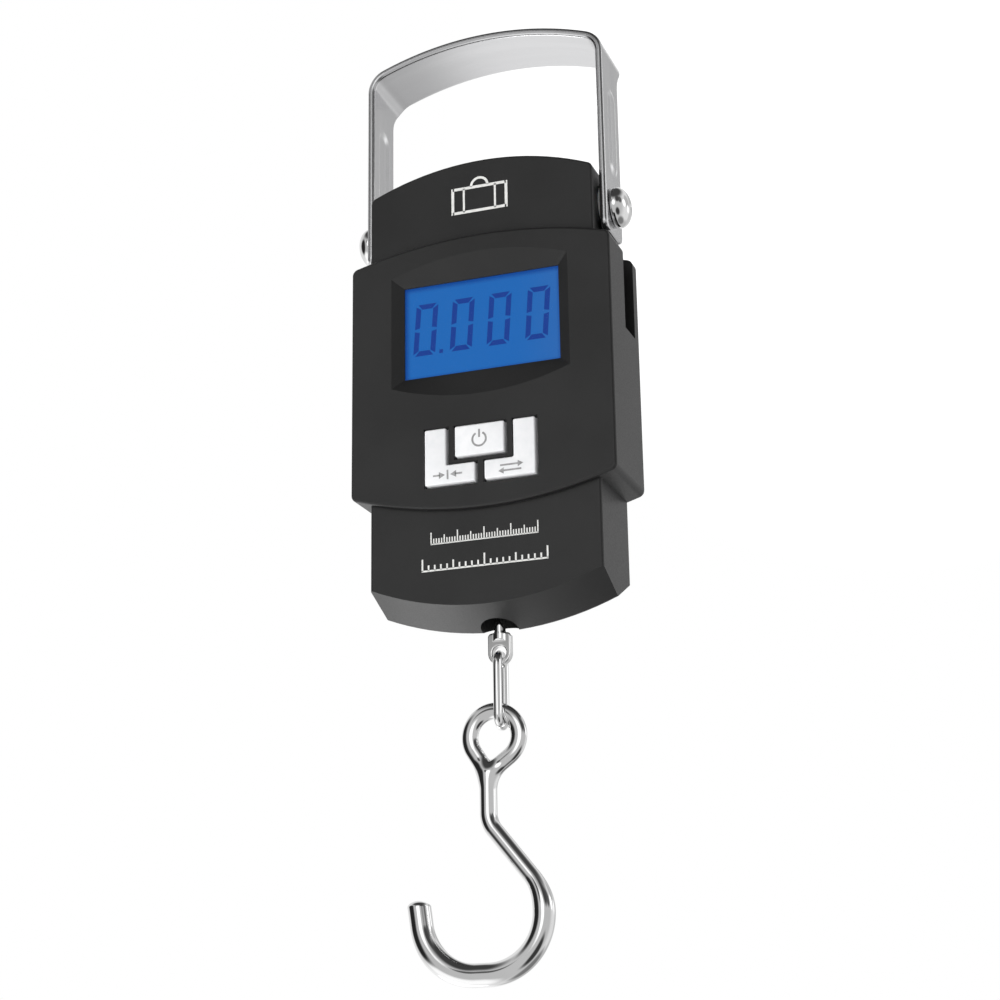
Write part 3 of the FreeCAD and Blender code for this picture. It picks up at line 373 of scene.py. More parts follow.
def tube(path, thickness, side, closed=False, sides=20):
    """A round tube along points of a plane whose normal is side."""
    path = np.array(path, float)
    side = np.array(side, float)
    if closed:
        along = np.roll(path, -1, 0) - np.roll(path, 1, 0)
    else:
        along = np.gradient(path, axis=0)
    along /= np.linalg.norm(along, axis=1)[:, None]
    up = np.cross(along, side)
    up /= np.linalg.norm(up, axis=1)[:, None]
    across = np.cross(up, along)
    turn = 2 * math.pi * np.arange(sides) / sides
    points = (path[:, None] + thickness * (np.cos(turn)[None, :, None] * up[:, None]
                                           + np.sin(turn)[None, :, None] * across[:, None]))
    faces = grid_faces(len(path), sides, wrap_rows=closed, wrap_columns=True)
    if not closed:
        faces += end_faces(len(path), sides)
    return points.reshape(-1, 3), faces


# ---- Surfaces from distance fields

def skin(field, low, high, step):
    """The zero surface of a field as quads, one point in each cell that it crosses, with normals."""
    counts = np.ceil((np.array(high) - np.array(low)) / step).astype(int) + 1
    axes = [corner + step * np.arange(count) for corner, count in zip(low, counts)]
    inside = field(np.stack(np.meshgrid(*axes, indexing="ij"), -1)) < 0
    total = sum(inside[a:counts[0] - 1 + a, b:counts[1] - 1 + b, c:counts[2] - 1 + c].astype(int)
                for a, b, c in np.ndindex(2, 2, 2))
    mixed = (total > 0) & (total < 8)
    number = np.full(mixed.shape, -1)
    number[mixed] = np.arange(mixed.sum())
    points = np.array(low) + step * (np.argwhere(mixed) + 0.5)
    faces = []
    for axis in range(3):
        second, third = (axis + 1) % 3, (axis + 2) % 3
        ends = np.moveaxis(inside, (axis, second, third), (0, 1, 2))[:, 1:-1, 1:-1]
        cells = np.moveaxis(number, (axis, second, third), (0, 1, 2))
        edge = np.argwhere(ends[:-1] != ends[1:])
        i, j, k = edge[:, 0], edge[:, 1], edge[:, 2]
        quads = np.stack([cells[i, j, k], cells[i, j + 1, k], cells[i, j + 1, k + 1],
                          cells[i, j, k + 1]], 1)
        leaving = ends[i, j, k]
        faces.append(np.where(leaving[:, None], quads, quads[:, ::-1]))
    faces = np.concatenate(faces)
    for _ in range(6):
        points = settle(field, relax(points, faces), step)
    return points, faces, slope(field, points)


def relax(points, faces):
    """Every point moves half way to the mean of its face neighbours."""
    total, count = np.zeros_like(points), np.zeros(len(points))
    for first, second in ((0, 1), (1, 2), (2, 3), (3, 0)):
        for here, there in ((first, second), (second, first)):
            np.add.at(total, faces[:, here], points[faces[:, there]])
            np.add.at(count, faces[:, here], 1)
    return 0.5 * points + 0.5 * total / count[:, None]


def gradient(field, points, reach=0.002):
    """The field's rate of increase along each axis."""
    rise = np.stack([field(points + move) - field(points - move) for move in np.eye(3) * reach], 1)
    return rise / (2 * reach)


def slope(field, points):
    """The field's direction of increase at each point."""
    rise = gradient(field, points)
    return rise / np.linalg.norm(rise, axis=1)[:, None]


def settle(field, points, step):
    """Moves points along the field's slope onto its zero surface."""
    for _ in range(4):
        rise = gradient(field, points)
        move = field(points)[:, None] * rise / np.maximum((rise ** 2).sum(1), 1e-6)[:, None]
        points = points - np.clip(move, -step, step)
    return points


def blend_fields(first, second, reach):
    """The union of two fields with a fillet of about reach where they meet."""
    share = np.clip(0.5 + 0.5 * (second - first) / reach, 0, 1)
    return second + (first - second) * share - reach * share * (1 - share)


def ease(share):
    return share * share * (3 - 2 * share)


def soft_step(share):
    return ease(min(max(share, 0.0), 1.0))


def run_part(x, z, start, finish, thick):
    """Distance in the plane from a straight run, and the wire's radius there."""
    direction = np.array(finish) - start
    share = np.clip(((x - start[0]) * direction[0] + (z - start[1]) * direction[1])
                    / (direction ** 2).sum(), 0, 1)
    distance = np.hypot(x - start[0] - share * direction[0], z - start[1] - share * direction[1])
    return distance, thick[0] + (thick[1] - thick[0]) * ease(share)


def tip_part(x, z, start, thick):
    """The same for the last straight run, with a low dome whose top lies towards the outer side."""
    lean = math.radians(TIP_LEAN)
    along = -(x - start[0]) * math.sin(lean) + (z - start[1]) * math.cos(lean)
    side = (x - start[0]) * math.cos(lean) + (z - start[1]) * math.sin(lean)
    above = np.maximum(along - (TIP_LENGTH - TIP_DOME), 0)
    beyond = np.where(above > 0, above * thick / TIP_DOME, np.minimum(along, 0))
    return np.hypot(side + TIP_SKEW * above, beyond), thick


def arc_part(x, z, centre, radius, first, last, thick):
    """The same for an arc between two angles in degrees."""
    middle = (first + last) / 2
    turn = np.degrees(np.arctan2(z - centre[1], x - centre[0]))
    turn = middle + (turn - middle + 180) % 360 - 180
    share = np.clip((turn - first) / (last - first), 0, 1)
    angle = np.radians(first + share * (last - first))
    across = x - centre[0] - radius * np.cos(angle)
    up = z - centre[1] - radius * np.sin(angle)
    return np.hypot(across, up), thick[0] + (thick[1] - thick[0]) * ease(share)


def spoke(angle):
    return np.array([math.cos(angle), math.sin(angle)])


def ring_point(centre, radius, degrees):
    return np.array(centre) + radius * spoke(math.radians(degrees))


def heading(direction):
    return math.degrees(math.atan2(*direction[::-1]))


# ---- Hook

RING_RADIUS, RING_HALF_WIDE, RING_HALF_THICK = 6.2, 2.05, 1.3
LINK_BAR, LINK_WIRE, RING_CLEAR = -181.0, 1.05, 0.1
RING_X = -1.9
SHANK_TOP, SHANK_LOW = np.array([-3.6, -192.2]), np.array([-3.6, -201.5])
SHANK_RADIUS, SHANK_BEND = 2.1, 6.5
BOWL_CENTRE, BOWL_RADIUS, BOWL_FLAT = np.array([-4.06, -225.2]), 13.76, 3.03
BOWL_THICK = (2.7, 2.8, 3.0, 2.8)  # the wire's radius at the bowl's right, bottom and left, and at the tip
TIP_LEAN, TIP_LENGTH, TIP_DOME, TIP_SKEW = 8.0, 6.1, 1.6, 0.3
RING_FILLET = 2.6


def hook_field(points):
    """A forged wire: a flattened ring that closes on the shank, and a bowl that thickens below."""
    x, y, z = points[..., 0], points[..., 1], points[..., 2]
    reach = RING_RADIUS - RING_HALF_WIDE - LINK_WIRE - RING_CLEAR
    ring = np.array([RING_X, LINK_BAR - math.sqrt(reach ** 2 - RING_X ** 2)])
    away = ring - SHANK_TOP
    opening = math.degrees(math.asin(RING_RADIUS / np.linalg.norm(away)))
    first, last = heading(away) - 90 - opening, heading(away) + 90 + opening
    wide = (RING_HALF_WIDE, RING_HALF_WIDE)
    loop = [arc_part(x, z, ring, RING_RADIUS, first, last, wide)]
    loop += [run_part(x, z, SHANK_TOP, ring_point(ring, RING_RADIUS, angle), wide)
             for angle in (first, last)]
    flatten = RING_HALF_WIDE / RING_HALF_THICK
    eye = np.minimum.reduce([np.hypot(distance, y * flatten) - thick for distance, thick in loop])

    bend = SHANK_LOW + (SHANK_BEND, 0)
    between = BOWL_CENTRE - bend
    leave = heading(between) - math.degrees(math.acos((SHANK_BEND + BOWL_RADIUS)
                                                      / np.linalg.norm(between)))
    arrive = leave + 180 + 360 * (leave < -180)
    left = BOWL_CENTRE - (BOWL_FLAT, 0)
    thin, right_r, low_r, left_r, tip_r = SHANK_RADIUS, *BOWL_THICK
    wire = [run_part(x, z, SHANK_TOP, SHANK_LOW, (thin, thin)),
            arc_part(x, z, bend, SHANK_BEND, -180, leave, (thin, thin)),
            run_part(x, z, ring_point(bend, SHANK_BEND, leave),
                     ring_point(BOWL_CENTRE, BOWL_RADIUS, arrive), (thin, thin)),
            arc_part(x, z, BOWL_CENTRE, BOWL_RADIUS, arrive, 0, (thin, right_r)),
            arc_part(x, z, BOWL_CENTRE, BOWL_RADIUS, 0, -90, (right_r, low_r)),
            run_part(x, z, ring_point(BOWL_CENTRE, BOWL_RADIUS, -90),
                     ring_point(left, BOWL_RADIUS, -90), (low_r, low_r)),
            arc_part(x, z, left, BOWL_RADIUS, -90, -135, (low_r, left_r)),
            arc_part(x, z, left, BOWL_RADIUS, -135, -180 + TIP_LEAN, (left_r, tip_r)),
            tip_part(x, z, ring_point(left, BOWL_RADIUS, -180 + TIP_LEAN), tip_r)]
    bowl = np.minimum.reduce([np.hypot(distance, y) - thick for distance, thick in wire])
    return blend_fields(eye, bowl, RING_FILLET)


def make_hook():
    low, high = extent("hook")
    points, faces, normals = skin(hook_field, low - 0.8, high + 0.8, 0.36)
    new_piece("hook_forging", points, faces, "hook", "hook_chrome", ["hook"], normals=normals)


# ---- Link and stem

EYE_Z, EYE_TOP, EYE_HOLE, EYE_HALF, EYE_HALF_THICK = -163.2, -158.2, 1.75, 2.95, 1.0
STEM_RADIUS, STEM_LOW_RADIUS, STEM_STEP, STEM_LOW = 2.0, 1.4, -151.0, -159.8
STEP_FILLET, EYE_FILLET = 0.4, 0.6


def make_link():
    """A closed loop of round wire that hangs in the stem's eye."""
    low, high = extent("link")
    bend = (high[1] - low[1]) / 2 - LINK_WIRE
    top, bottom = high[2] - LINK_WIRE - bend, low[2] + LINK_WIRE + bend
    path = []
    for centre, first in ((top, 0), (bottom, 180)):
        for step in range(25):
            angle = math.radians(first + 180 * step / 24)
            path.append((0, bend * math.cos(angle), centre + bend * math.sin(angle)))
        side = math.copysign(bend, math.cos(math.radians(first + 180)))
        far_centre = bottom if first == 0 else top
        path += [(0, side, centre + (far_centre - centre) * share)
                 for share in np.linspace(0, 1, 18)[1:-1]]
    shell = tube(path, LINK_WIRE, (1, 0, 0), closed=True, sides=28)
    new_piece("link_wire", *shell, "link", "hook_chrome", ["link"])


def stem_field(points):
    """The round stem that flattens into an eye with soft rims."""
    x, y, z = points[..., 0], points[..., 1], points[..., 2]
    stem = np.maximum(np.hypot(x, y) - STEM_LOW_RADIUS, STEM_LOW - z)
    shoulder = np.maximum(np.hypot(x, y) - STEM_RADIUS, STEM_STEP - z)
    stem = blend_fields(stem, shoulder, STEP_FILLET)
    round_edge, corner = 0.35, 0.7
    half = EYE_HALF - round_edge
    rise = z - (EYE_TOP - round_edge - corner)
    disc = np.hypot(x, np.minimum(z - EYE_Z, 0)) - half
    beside = np.maximum(np.abs(x) - half + corner, 0)
    disc = np.maximum(disc, np.hypot(beside, np.maximum(rise, 0)) - corner)
    hole = EYE_HOLE + round_edge - np.hypot(x, z - EYE_Z)
    flat = np.maximum(disc, hole)
    plate = np.stack([flat, np.abs(y) - (EYE_HALF_THICK - round_edge)])
    outside = np.hypot(*np.maximum(plate, 0))
    return blend_fields(stem, outside + np.minimum(plate.max(0), 0) - round_edge, EYE_FILLET)


def make_stem():
    low, high = extent("swivel_stem")
    visible_top, margin = STEM_STEP + 3.0, 0.5
    side, front = EYE_HALF + margin, STEM_RADIUS + margin
    points, faces, normals = skin(stem_field, (-side, -front, low[2] - margin),
                                  (side, front, visible_top), 0.2)
    new_piece("stem_and_eye", points, faces, "stem", "hook_chrome", ["swivel_stem"], normals=normals)
    rod = [(visible_top - 0.4, 0), (visible_top - 0.4, STEM_RADIUS)]
    thread_low, pitch = high[2] - 6.0, 0.7
    crests = int((high[2] - 0.6 - thread_low) / pitch)
    for turn in range(crests):
        rod += [(thread_low + pitch * turn, STEM_RADIUS),
                (thread_low + pitch * (turn + 0.5), STEM_RADIUS - 0.3)]
    rod += [(high[2] - 0.4, STEM_RADIUS), (high[2], STEM_RADIUS - 0.4), (high[2], 0)]
    sharpen(new_piece("stem_thread", *lathe(rod, (0, 0, 0), "z", 40), "stem", "hook_chrome"))


# ---- Handle

ARCH_RADIUS, HANDLE_BEND, STRIP_THICK = 82.7, 6.5, 2.0
STRIP_EDGE, FLARE_LOW, FLARE_TOP = 0.95, -14.5, -4.5
LEG_CORNER, PIVOT_HOLE = 2.2, 3.05
INNER_SHIFT = 40  # keeps the grain of the strip's two faces apart
RIB_TOP, RIB_LOW, RIB_HALF, RIB_SLOPE, RIB_HEIGHT = -17.5, -42.5, 3.7, 2.3, 0.5


def back_edge(z):
    """The strip's back edge: straight along the legs, set back in the arch, and an S between them."""
    low, high = extent("handle")
    share = min(max((z - FLARE_LOW) / (FLARE_TOP - FLARE_LOW), 0.0), 1.0)
    bow = 2 * share ** 2 if share < 0.5 else 1 - 2 * (1 - share) ** 2
    return -low[1] + (high[1] + low[1]) * bow


def handle_stations():
    """Centreline points from the right leg's end over the arch, with outward directions and Y spans."""
    low, high = extent("handle")
    front = low[1]
    half = high[0] - RIB_HEIGHT - STRIP_THICK / 2
    outer_bend = half + STRIP_THICK / 2 - HANDLE_BEND
    arch_z = high[2] - ARCH_RADIUS
    bend_z = arch_z + math.sqrt((ARCH_RADIUS - HANDLE_BEND) ** 2 - outer_bend ** 2)
    lean = math.degrees(math.atan2(bend_z - arch_z, outer_bend))
    leg_end = low[2]
    stations = []
    corner = [LEG_CORNER * (1 - math.cos(math.pi / 2 * step / 10)) for step in range(11)]
    straight = list(np.arange(LEG_CORNER + 0.5, bend_z - leg_end - 0.2, 0.5))
    for rise in corner + straight:
        z = leg_end + rise
        cut = LEG_CORNER - math.sqrt(LEG_CORNER ** 2 - max(LEG_CORNER - rise, 0) ** 2)
        span = (front + cut, back_edge(z) - cut)
        stations.append((np.array([half, z]), np.array([1.0, 0.0]), span))
    for angles, centre, radius in ((np.linspace(0, lean, 11), (outer_bend, bend_z), HANDLE_BEND),
                                   (np.linspace(lean, 90, 30)[1:], (0, arch_z), ARCH_RADIUS)):
        for angle in np.radians(angles):
            out = spoke(angle)
            spot = np.array(centre) + out * (radius - STRIP_THICK / 2)
            stations.append((spot, out, (front, back_edge(spot[1]))))
    mirrored = [(spot * (-1, 1), out * (-1, 1), span) for spot, out, span in stations[-2::-1]]
    return stations + mirrored


def rib_height(y, z):
    """The pressed rib's height on a leg: a long dome with soft shoulders."""
    low, high = RIB_LOW + RIB_HALF, RIB_TOP - RIB_HALF
    distance = math.hypot(y, z - min(max(z, low), high))
    return RIB_HEIGHT * soft_step((RIB_HALF - distance) / RIB_SLOPE)


def strip_section(front, back):
    """Section points as (outwards, y) round the strip between its front and back edges."""
    edge = min(STRIP_EDGE, (back - front) * 0.3)
    half = STRIP_THICK / 2
    flat = np.linspace(front + edge, back - edge, 56)
    arc = [(edge * math.cos(turn), edge * math.sin(turn))
           for turn in np.radians(np.linspace(0, 90, 8))[1:-1]]
    inner = half - edge
    points = [(half, y) for y in flat[::-1]]
    points += [(inner + far, front + edge - near) for far, near in arc]
    points += [(inner, front), (-inner, front)]
    points += [(-inner - near, front + edge - far) for far, near in arc]
    points += [(-half, y) for y in flat]
    points += [(-inner - far, back - edge + near) for far, near in arc]
    points += [(-inner, back), (inner, back)]
    points += [(inner + near, back - edge + far) for far, near in arc]
    return points


def make_handle():
    points, uv, along, last = [], [], 0.0, None
    stations = handle_stations()
    for spot, out, span in stations:
        along += 0 if last is None else float(np.linalg.norm(spot - last))
        last = spot
        for outwards, y in strip_section(*span):
            rib = rib_height(y, spot[1]) if abs(out[0]) > 0.999 and abs(y) < RIB_HALF else 0.0
            x, z = spot + out * (outwards + rib)
            points.append((x, y, z))
            uv.append((along, y + (INNER_SHIFT if outwards < 0 else 0)))
    ring = len(strip_section(-1.0, 1.0))
    faces = grid_faces(len(stations), ring, wrap_columns=True) + end_faces(len(stations), ring)
    piece = new_piece("handle_strip", points, faces, "handle", "handle_steel", ["handle"], uv=uv)
    rivet_low, rivet_high = extent("pivot_rivets")
    pivot_z = (rivet_low[2] + rivet_high[2]) / 2
    for spot in (stations[0][0][0], stations[-1][0][0]):
        bore(piece, (spot, 0, pivot_z), "x", 2 * STRIP_THICK, PIVOT_HOLE)
    sharpen(piece, 50)


# ---- Rivets and screws

def make_rivets():
    """Domed rivets with a collar and a small dimple in the crown."""
    low, high = extent("pivot_rivets")
    centre = (0, 0, (low[2] + high[2]) / 2)
    radius, tip = (high[2] - low[2]) / 2, high[0]
    base, collar, dimple, steps = 32.65, 0.7, 0.45, 15
    inner_end, inner_thick, inner_r, shank_r, chamfer = 24.8, 1.2, 4.4, 3.0, 0.4
    height = tip - base - collar
    profile = [(inner_end, 0), (inner_end, inner_r - chamfer), (inner_end + chamfer, inner_r),
               (inner_end + inner_thick, inner_r), (inner_end + inner_thick, shank_r), (base, shank_r),
               (base, radius - 0.2), (base + 0.2, radius), (base + collar, radius)]
    for step in range(1, steps):
        share = math.pi / 2 * step / steps
        profile.append((base + collar + height * math.sin(share), radius * math.cos(share) ** 0.92))
    profile += [(tip - 0.02, dimple + 0.12), (tip - 0.12, dimple), (tip - 0.3, dimple * 0.5),
                (tip - 0.34, 0)]
    for side, sign in (("right", 1), ("left", -1)):
        shell = lathe([(sign * along, size) for along, size in profile], centre, "x", 72)
        sharpen(new_piece(f"pivot_rivet_{side}", *shell, "housing", "hook_chrome", ["pivot_rivets"]), 40)


def cross_recess(x, z):
    """Depth of a cross recess that tapers towards its middle."""
    reach, blade, depth, side_wall, end_wall = 1.15, 0.26, 0.65, 0.14, 0.2
    thin, arm = sorted((abs(x), abs(z)))
    wall = soft_step((blade - thin) / side_wall + 0.5) * soft_step((reach - arm) / end_wall)
    return depth * wall * (1 - 0.35 * arm / reach)


def make_screws():
    """Four screws with a domed head, a cross recess and a ridged shank."""
    low, high = extent("housing_screws")
    head_r, head_low, head_back, shank_r, tip = 2.1, 10.9, high[1], 1.0, low[1]
    turns, pitch = 64, 0.8
    angles = [2 * math.pi * step / turns for step in range(turns)]
    profile = [(head_back - 0.34, head_r - 0.08), (head_back - 0.5, head_r), (head_low, head_r),
               (head_low, shank_r)]
    for turn in range(14):
        profile += [(head_low - pitch / 2 - pitch * turn, shank_r - 0.22),
                    (head_low - pitch - pitch * turn, shank_r)]
    profile = [spot for spot in profile if spot[0] > tip + 0.5]
    side_x = {-90.0: high[0] - head_r, -142.0: high[0] - head_r - 2.4}
    places = [(sign * x, z) for z, x in side_x.items() for sign in (1, -1)]
    for number, (x, z) in enumerate(places):
        points = [(x, head_back - cross_recess(0, 0), z)]
        for radius in np.linspace(0.12, head_r - 0.25, 16):
            crown = 0.28 * (radius / head_r) ** 2
            for angle in angles:
                dx, dz = radius * math.cos(angle), radius * math.sin(angle)
                points.append((x + dx, head_back - crown - cross_recess(dx, dz), z + dz))
        for along, radius in profile:
            points += [(x + radius * math.cos(angle), along, z + radius * math.sin(angle))
                       for angle in angles]
        points.append((x, tip, z))
        faces = [(0, 1 + (step + 1) % turns, 1 + step) for step in range(turns)]
        rows = (len(points) - 2) // turns
        faces += [tuple(index + 1 for index in face) for face in grid_faces(rows, turns, wrap_columns=True)]
        start = 1 + (rows - 1) * turns
        faces += [(start + step, start + (step + 1) % turns, len(points) - 1) for step in range(turns)]
        sharpen(new_piece(f"housing_screw_{number}", points, faces, "housing", "zinc_steel",
                          ["housing_screws"]), 50)


# ---- Keys and their symbols

KEY_TOP, KEY_LOW, FOOT_TOP, MIDDLE_LOW = -108.5, -122.9, -118.1, -116.3
BAR_OUTER, BAR_INNER, FOOT_INNER, MIDDLE_HALF = 14.3, 8.7, 1.2, 6.4
CAP_BACK, FLANGE_BACK, FLANGE_MARGIN, PRINT_THICK = -9.95, -9.15, 0.75, 0.03


def key_corners(side):
    if side == 0:
        return [(-MIDDLE_HALF, MIDDLE_LOW), (MIDDLE_HALF, MIDDLE_LOW), (MIDDLE_HALF, KEY_TOP),
                (-MIDDLE_HALF, KEY_TOP)]
    right = [(FOOT_INNER, KEY_LOW), (BAR_OUTER, KEY_LOW), (BAR_OUTER, KEY_TOP), (BAR_INNER, KEY_TOP),
             (BAR_INNER, FOOT_TOP), (FOOT_INNER, FOOT_TOP)]
    return right if side > 0 else [(-x, z) for x, z in right[::-1]]


def bar_shape(x, z, wide, tall):
    return [(x - wide / 2, z - tall / 2), (x + wide / 2, z - tall / 2), (x + wide / 2, z + tall / 2),
            (x - wide / 2, z + tall / 2)]


def arrow_head(x, z, size, direction):
    """A triangle that points along +X or -X."""
    tip, tail = (x + direction * size, z), x - direction * size * 0.4
    ends = [(tail, z - size * 0.8), (tail, z + size * 0.8)]
    return [tip, ends[1], ends[0]] if direction > 0 else [tip, ends[0], ends[1]]


def arc_band(x, z, radius, wide, first, last, steps=28):
    """A ring sector as an outline: its outer arc, then its inner arc backwards."""
    turns = np.radians(np.linspace(first, last, steps))
    sides = ((radius + wide / 2, turns), (radius - wide / 2, turns[::-1]))
    return [(x + size * math.cos(turn), z + size * math.sin(turn)) for size, sweep in sides for turn in sweep]


def printed(name, outlines, front, body, slot, thick=PRINT_THICK):
    """Thin printed shapes on a face that looks along -Y."""
    shells = []
    for outline in outlines:
        count = len(outline)
        points = [(x, y, z) for y in (front, front + thick) for x, z in outline]
        faces = [(step, step + count, (step + 1) % count + count, (step + 1) % count)
                 for step in range(count)]
        faces += [tuple(range(count)), tuple(range(count, 2 * count))[::-1]]
        shells.append((points, faces))
    mesh = new_piece(name, *merge(*shells), body, slot).data
    mesh.polygons.foreach_set("use_smooth", [False] * len(mesh.polygons))


def make_keys():
    front = extent("power_button")[0][1] + PRINT_THICK
    corner, edge, post_r, overlap = 0.45, 0.4, 1.4, 0.1
    post_front = FLANGE_BACK - overlap
    levels = edge_levels(front, CAP_BACK, edge)
    levels += [(CAP_BACK, -FLANGE_MARGIN), (FLANGE_BACK, -FLANGE_MARGIN)]
    keys = {"power": (0, (0, -112.4)), "tare": (-1, (-11.5, -115.5)), "unit": (1, (11.5, -115.5))}
    for name, (side, (post_x, post_z)) in keys.items():
        cap = stacked(key_corners(side), corner, levels)
        back = extent(f"{name}_button")[1][1]
        post = lathe([(post_front, 0), (post_front, post_r), (back - 0.1, post_r), (back, post_r - 0.1),
                      (back, 0)], (post_x, 0, post_z), "y", 32)
        sharpen(new_piece(f"{name}_key_cap", *merge(cap, post), f"{name}_key", "key_silver",
                          [f"{name}_button"]), 40)
    symbols = {
        "power": [arc_band(0, -112.5, 1.75, 0.5, 120, 420), bar_shape(0, -111.0, 0.5, 2.1)],
        "tare": [bar_shape(-8.3, -120.6, 0.45, 2.4), bar_shape(-11.2, -120.6, 1.8, 0.45),
                 bar_shape(-5.4, -120.6, 1.8, 0.45), arrow_head(-10.1, -120.6, 1.1, 1),
                 arrow_head(-6.5, -120.6, 1.1, -1)],
        "unit": [bar_shape(7.6, -120.0, 4.6, 0.45), arrow_head(10.2, -120.0, 1.0, 1),
                 bar_shape(8.4, -121.4, 4.6, 0.45), arrow_head(5.8, -121.4, 1.0, -1)],
    }
    for name, outlines in symbols.items():
        printed(f"{name}_symbol", outlines, front - PRINT_THICK, f"{name}_key", "print_grey")


# ---- Marks on the housing

def make_marks():
    """A small case symbol on the neck, and two graduated scales below the keys."""
    set_back = 1.8  # of the neck and the lower part behind the wide middle
    face = extent("front_cover")[0][1] + set_back - PRINT_THICK
    neck_z, half, tall, line = -47.0, 7.2, 6.6, 0.75
    case = [arc_band(0, neck_z + tall / 2 + 0.2, 2.2, 0.65, 0, 180)]
    for sign in (-1, 1):
        case += [bar_shape(0, neck_z + sign * tall / 2, 2 * half, line),
                 bar_shape(sign * half, neck_z, line, tall + line),
                 bar_shape(sign * (half - 3.0), neck_z, line * 0.7, tall)]
    printed("case_symbol", case, face, "housing", "print_light")
    for name, low, width, count, line in (("fine_scale", -137.05, 27.4, 40, 0.3),
                                          ("coarse_scale", -143.65, 32.0, 20, 0.42)):
        ticks = [bar_shape(0, low, width + line, line)]
        for step in range(count + 1):
            tall = 3.0 if step % 10 == 0 else 2.2 if step % 5 == 0 else 1.4
            ticks.append(bar_shape(-width / 2 + width * step / count, low + tall / 2, line, tall))
        printed(name, ticks, face, "housing", "print_light")


# ---- Display digits

def make_digits():
    """Four seven-segment zeros with a point after the first, leaning a little."""
    thick, clear = 0.02, 0.03
    face = extent("lcd_panel")[0][1] - clear
    top, low, wide, stroke, lean = -73.35, -87.2, 5.9, 1.35, 0.074
    gap, chamfer = 0.28, 0.5
    middle = (top + low) / 2

    def leaning(outline):
        return [(x + (z - middle) * lean, z) for x, z in outline]

    def upright(x, first, last, outer):
        """A standing segment; its outer corner at the free end is cut."""
        inner = x + stroke * (1 if outer < 0 else -1)
        free, joined = (chamfer, stroke), (gap, gap + 0.3)
        below, above = (free, joined) if first < last else (joined, free)
        bottom, peak = sorted((first, last))
        shape = [(x, bottom + below[0]), (inner, bottom + below[1]), (inner, peak - above[1]),
                 (x, peak - above[0])]
        return shape if outer < 0 else shape[::-1]

    for number, left in enumerate((-18.15, -8.35, 1.45, 11.6)):
        right = left + wide
        inner_left, inner_right = left + stroke + 0.25, right - stroke - 0.25
        outlines = [upright(x, end, middle, outer) for x, outer in ((left, -1), (right, 1))
                    for end in (low, top)]
        outlines += [[(left + chamfer, top), (inner_left, top - stroke), (inner_right, top - stroke),
                      (right - chamfer, top)],
                     [(left + chamfer, low), (right - chamfer, low), (inner_right, low + stroke),
                      (inner_left, low + stroke)]]
        if number == 0:
            outlines.append(bar_shape(right + 1.6, low + 0.55, 1.0, 1.0))
        printed(f"digit_{number}", [leaning(outline) for outline in outlines], face, "housing",
                "display_ink", thick)


# ---- Battery door and batteries

def make_door():
    """A flat lid with rounded edges, a thumb recess and grip ridges across it."""
    low, high = extent("battery_door")
    step, edge = 0.35, 0.45
    ridge_half_x, ridge_pitch, ridge_half, ridge_depth = 9.0, 2.2, 0.75, 0.35

    def grid_line(start, finish):
        rims = np.linspace(0, edge, 5)
        between = np.arange(start + edge, finish - edge, step)
        return np.unique(np.concatenate([start + rims, between, finish - rims]))

    xs, zs = grid_line(low[0], high[0]), grid_line(low[2], high[2])
    notch_z, notch_half_x, notch_half_z, depth = high[2] - 5.0, 8.0, 3.6, 0.75
    points = []
    for z in zs:
        for x in xs:
            inside = min(x - low[0], high[0] - x, z - low[2], high[2] - z)
            drop = edge - math.sqrt(max(edge ** 2 - max(edge - inside, 0) ** 2, 0))
            scoop = (x / notch_half_x) ** 2 + ((z - notch_z) / notch_half_z) ** 2
            drop += depth * soft_step((1.1 - scoop) / 0.8)
            for ridge in range(4):
                from_ridge = abs(z - (notch_z - 7.0 - ridge_pitch * ridge))
                across = soft_step((ridge_half_x - abs(x)) / 1.2)
                drop += ridge_depth * across * soft_step((ridge_half - from_ridge) / 0.45)
            points.append((x, high[1] - drop, z))
    rows, columns = len(zs), len(xs)
    faces = [face[::-1] for face in grid_faces(rows, columns)]
    rim = (list(range(columns)) + [row * columns + columns - 1 for row in range(1, rows)]
           + [(rows - 1) * columns + column for column in range(columns - 2, -1, -1)]
           + [row * columns for row in range(rows - 2, 0, -1)])
    start = len(points)
    points += [(points[index][0], low[1], points[index][2]) for index in rim]
    count = len(rim)
    faces += [(start + step, start + (step + 1) % count, rim[(step + 1) % count], rim[step])
              for step in range(count)]
    faces.append(tuple(range(start, start + count)))
    sharpen(new_piece("battery_lid", points, faces, "door", "housing_black", ["battery_door"]), 40)


def make_batteries():
    """AAA cells: a crimped can with a raised button at one end."""
    for side in ("right", "left"):
        low, high = extent(f"battery_{side}")
        centre = ((low[0] + high[0]) / 2, (low[1] + high[1]) / 2, 0)
        radius = (high[0] - low[0]) / 2
        flat, button = (low[2], high[2]) if side == "right" else (high[2], low[2])
        up = 1 if side == "right" else -1
        profile = [(flat, 0), (flat, radius - 0.9), (flat + up * 0.15, radius - 0.7),
                   (flat + up * 0.1, radius - 0.3), (flat + up * 0.4, radius),
                   (button - up * 1.7, radius), (button - up * 1.25, radius - 0.4),
                   (button - up * 1.35, radius - 1.2), (button - up * 1.2, 1.95),
                   (button - up * 0.25, 1.9), (button, 1.6), (button, 0)]
        sharpen(new_piece(f"battery_cell_{side}", *lathe(profile, centre, "z", 56), "housing",
                          "battery_wrap", [f"battery_{side}"]), 40)


